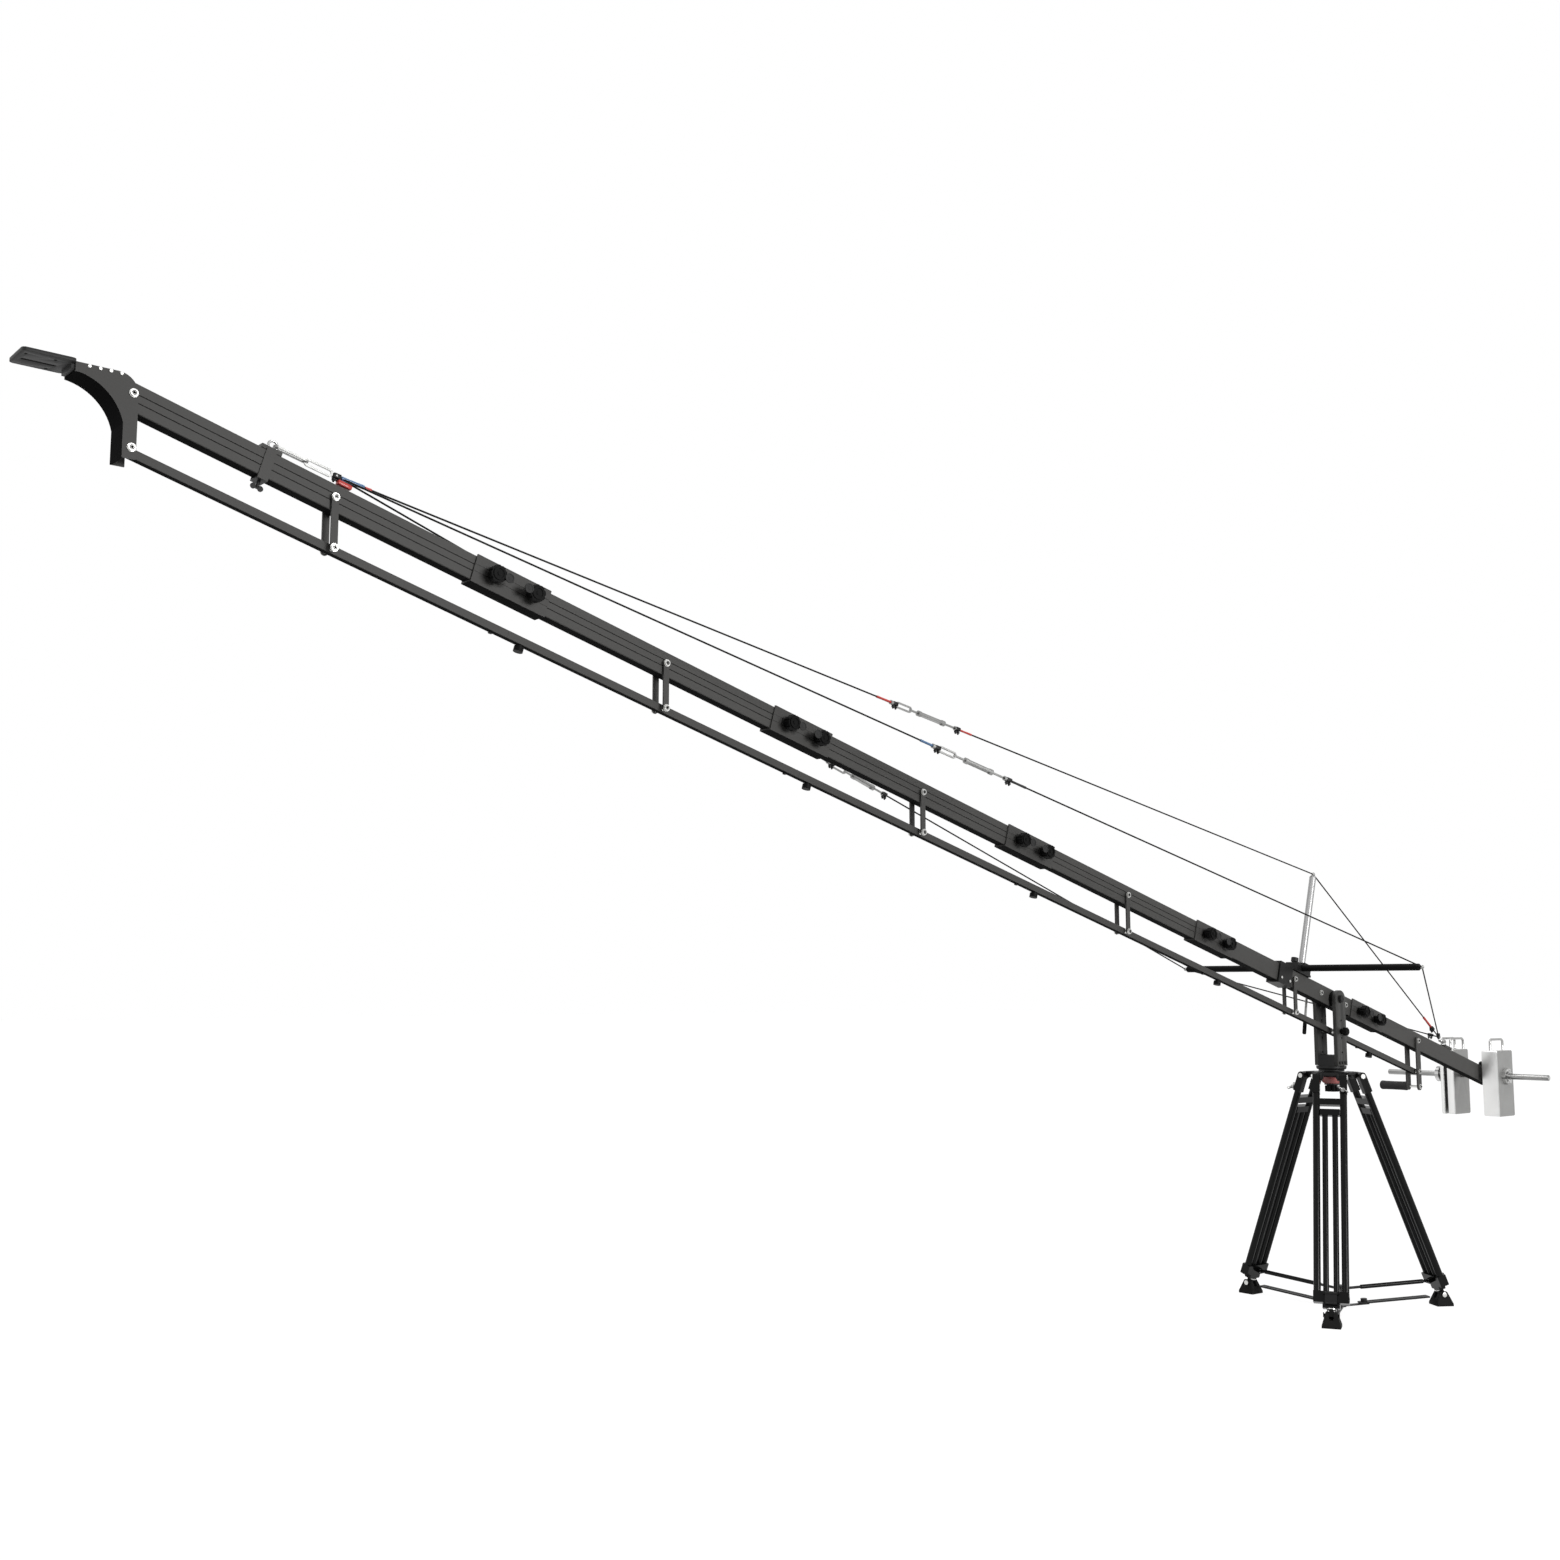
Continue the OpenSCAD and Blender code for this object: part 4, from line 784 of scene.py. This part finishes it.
# Sleeves on the stays, each of which runs from one pull to another
FRONT_PULL = boom_at(FRONT_PULL_STATION, 0, 60).translation
MAST_PULL = boom_at(-205, 0, 440).translation
REAR_PULL = boom_at(817, 0, 68).translation
NEAR_PULL = boom_at(-233, -514, 54).translation
FAR_PULL = boom_at(-233, 514, 54).translation
MAST_STAY = (FRONT_PULL, MAST_PULL)
NEAR_STAY = (FRONT_PULL, NEAR_PULL)
FAR_STAY = (FRONT_PULL, FAR_PULL)
REAR_MAST_STAY = (MAST_PULL, REAR_PULL)
REAR_NEAR_STAY = (NEAR_PULL, REAR_PULL)
REAR_FAR_STAY = (FAR_PULL, REAR_PULL)


def sleeve(name, stay, first, length, finish, radius=4.0):
    """Shrunk sleeve over a stay, from a distance along it."""
    profile = [(radius * 0.72, 0), (radius * 0.95, 0.8), (radius, 3), (radius * 0.9, length * 0.3),
               (radius * 0.94, length * 0.6), (radius, length - 3), (radius * 0.9, length - 0.8),
               (radius * 0.7, length)]
    set_down(turned_part(name, profile, 20), along_line(*stay, first), "boom", finish)


sleeve("mast_stay_red_sleeve", MAST_STAY, 1812, 70, red_sleeve)
sleeve("mast_stay_short_sleeve", MAST_STAY, 2180, 54, red_sleeve, 3.6)
sleeve("near_stay_dark_sleeve", NEAR_STAY, 2184, 60, strap_black)
sleeve("near_stay_blue_sleeve", NEAR_STAY, 1826, 58, blue_sleeve)
sleeve("far_stay_dark_sleeve", FAR_STAY, 1822, 60, strap_black)
sleeve("rear_stay_red_sleeve", REAR_MAST_STAY, 948, 66, red_sleeve, 5.0)
sleeve("front_blue_sleeve", MAST_STAY, 14, 62, blue_sleeve, 5.6)
sleeve("front_red_sleeve", MAST_STAY, 78, 18, red_sleeve, 4.2)
cover = block_part("front_red_cover", (38, 18, 12), (24, 0, -11), 3.0)
set_down(cover, boom_at(FRONT_PULL_STATION, -6, 56), "boom", red_sleeve)

# Rope clips: a saddle with two studs
stud_profile = [(2.8, 0), (2.8, 8), (5.2, 8), (5.2, 12.5), (2.8, 12.5), (2.8, 16), (1.8, 17)]
clip_parts = [block_part("clip_saddle", (15, 12, 20), (0, 0, 0), 2.0)]
for number, offset in enumerate((-5.5, 5.5)):
    stud = turned_part("clip_stud_%d" % number, stud_profile, 12)
    clip_parts.append(turned(stud, moved(0, 0, offset) @ TO_NEAR))
clips = [(MAST_STAY, 1890), (MAST_STAY, 2168), (NEAR_STAY, 1892), (NEAR_STAY, 2172), (FAR_STAY, 1892),
         (FAR_STAY, 2164), (REAR_MAST_STAY, 1026), (REAR_NEAR_STAY, 1130), (REAR_FAR_STAY, 1130),
         (MAST_STAY, 2)]
clip_places = [("boom", along_line(*stay, distance)) for stay, distance in clips]
set_of(joined("rope_clip", clip_parts), "rope_clip", clip_places, black_cast)

# Wing screws at the leg tops. Known fault: they stand 2 mm clear of the legs.
hub_profile = [(4, 0), (4, 9), (7.5, 9), (8.5, 11), (8.5, 17), (6, 20), (2, 20.6)]
wing_parts = [turned_part("wing_hub", hub_profile, 20)]
for number in (0, 1):
    blade = block_part("wing_blade_%d" % number, (19, 4.4, 11), (14, 0, 0), 1.6)
    wing_parts.append(turned(blade, moved(0, 0, 15) @ spun(180 * number, "Z") @ spun(-22, "Y")))
outwards = spun(90, "Y") @ spun(60, "Z")
wing_places = [("leg_" + which, leg_at(which, 13, 49, -58) @ outwards) for which in LEG_DIRS]
set_of(joined("wing_screw", wing_parts), "wing_screw", wing_places, dull_steel)

# Rings between the ankle blocks and the shoes
ankle_profile = [(17, -866), (18.5, -865), (18.5, -862.2), (17, -861.4)]
ankle_places = [("lower_" + which, leg_at(which)) for which in LEG_DIRS]
set_of(turned_part("ankle_ring", ankle_profile, 32), "ankle_ring", ankle_places, bright_steel)

# Rubber loops on the shoes
LOOP_HEIGHT = 48
for which in LEG_DIRS:
    clear_selection()
    bpy.ops.mesh.primitive_torus_add(major_segments=40, minor_segments=10, major_radius=15 * MM,
                                     minor_radius=1.8 * MM)
    loop = bpy.context.object
    loop.name = "shoe_loop_" + which
    bpy.ops.object.mode_set(mode="EDIT")
    bpy.ops.transform.resize(value=(1.0, 1.25, 1.7))
    settle()
    place = spun(LEG_DIRS[which], "Z") @ moved(ANKLE.x, 0, LOOP_HEIGHT) @ spun(90, "Y") @ spun(90, "Z")
    set_down(loop, place, "shoe_" + which, shoe_rubber)

# Rounded edges where the light catches them
eased("camera_plate", 1.6, plate_black, angle=40)
eased("pan_base", 1.2, black_cast, angle=40)
for node in ("upright_near", "upright_far"):
    eased(node, 1.0, post_grey_and_painted_shade, angle=50)
# Painted shade: the slabs' big faces, square to the bar, get a darker copy of their steel than the edges
for node in ("counterweight_near", "counterweight_far_inner", "counterweight_far_outer"):
    eased(node, 1.5, weight_edge, [(painted_shade_on_weights, weight_side), (handle_steel, weight_handle)], angle=50)
for which in LEG_DIRS:
    eased("foot_" + which, 2.0, shoe_rubber, [(bright_steel, ankle_pin(which))], angle=30)

# Floor, white to the eye and dim to the crane
floor_mesh = bpy.data.meshes.new("studio_floor")
floor_mesh.from_pydata([(-60, -60, 0), (60, -60, 0), (60, 60, 0), (-60, 60, 0)], [], [(0, 1, 2, 3)])
studio_floor = bpy.data.objects.new("studio_floor", floor_mesh)
bpy.context.scene.collection.objects.link(studio_floor)
floor_finish = Finish("floor_white", Roughness=0.9)
floor_cloud = floor_finish.noise(floor_finish.place, 0.6, 2.0)
floor_finish.put("Base Color", floor_finish.mixed(floor_cloud, grey(0.11), grey(0.13)))
straight, glossy, through = floor_finish.eye_rays()
glow_values = {"Color": (1.0, 1.0, 1.0), "Strength": (straight + glossy + through) * 0.93}
glow = floor_finish.node("ShaderNodeEmission", {}, glow_values)
lit_and_glowing = {0: Wire(floor_finish, floor_finish.shader.outputs[0]), 1: Wire(floor_finish, glow.outputs[0])}
both = floor_finish.node("ShaderNodeAddShader", {}, lit_and_glowing)
floor_finish.feed(floor_finish.nodes["Material Output"].inputs["Surface"], Wire(floor_finish, both.outputs[0]))
floor_mesh.materials.append(floor_finish.material)

# World, white to the eye and dim as a light
DIM = 0.16
world = bpy.data.worlds.new("studio_air")
bpy.context.scene.world = world
air = NodeTree(world)
sky = air.nodes["Background"]
straight, glossy, through = air.eye_rays()
air.feed(sky.inputs["Color"], (1.0, 1.0, 1.0))
air.feed(sky.inputs["Strength"], straight.either(glossy).either(through) * (1 - DIM) + DIM)


def soft_lamp(name, place, aim, size, power):
    """Rectangular lamp at a place, turned to what it lights; places in metres, power in watts."""
    data = bpy.data.lights.new(name, "AREA")
    data.shape = "RECTANGLE"
    data.size, data.size_y = size
    data.energy = power
    lamp = bpy.data.objects.new(name, data)
    lamp.location = place
    lamp.rotation_euler = (Vector(aim) - Vector(place)).to_track_quat("-Z", "Y").to_euler()
    bpy.context.scene.collection.objects.link(lamp)


soft_lamp("key_lamp", (-1.4, -9.5, 3.2), (-1.8, 0.0, 1.4), (5.0, 2.6), 580)
soft_lamp("side_lamp", (-9.5, 1.5, 3.6), (-1.0, 0.0, 1.0), (1.2, 3.0), 70)
soft_lamp("top_lamp", (-2.0, 1.0, 7.5), (-1.6, 0.0, 1.0), (6.0, 2.0), 200)
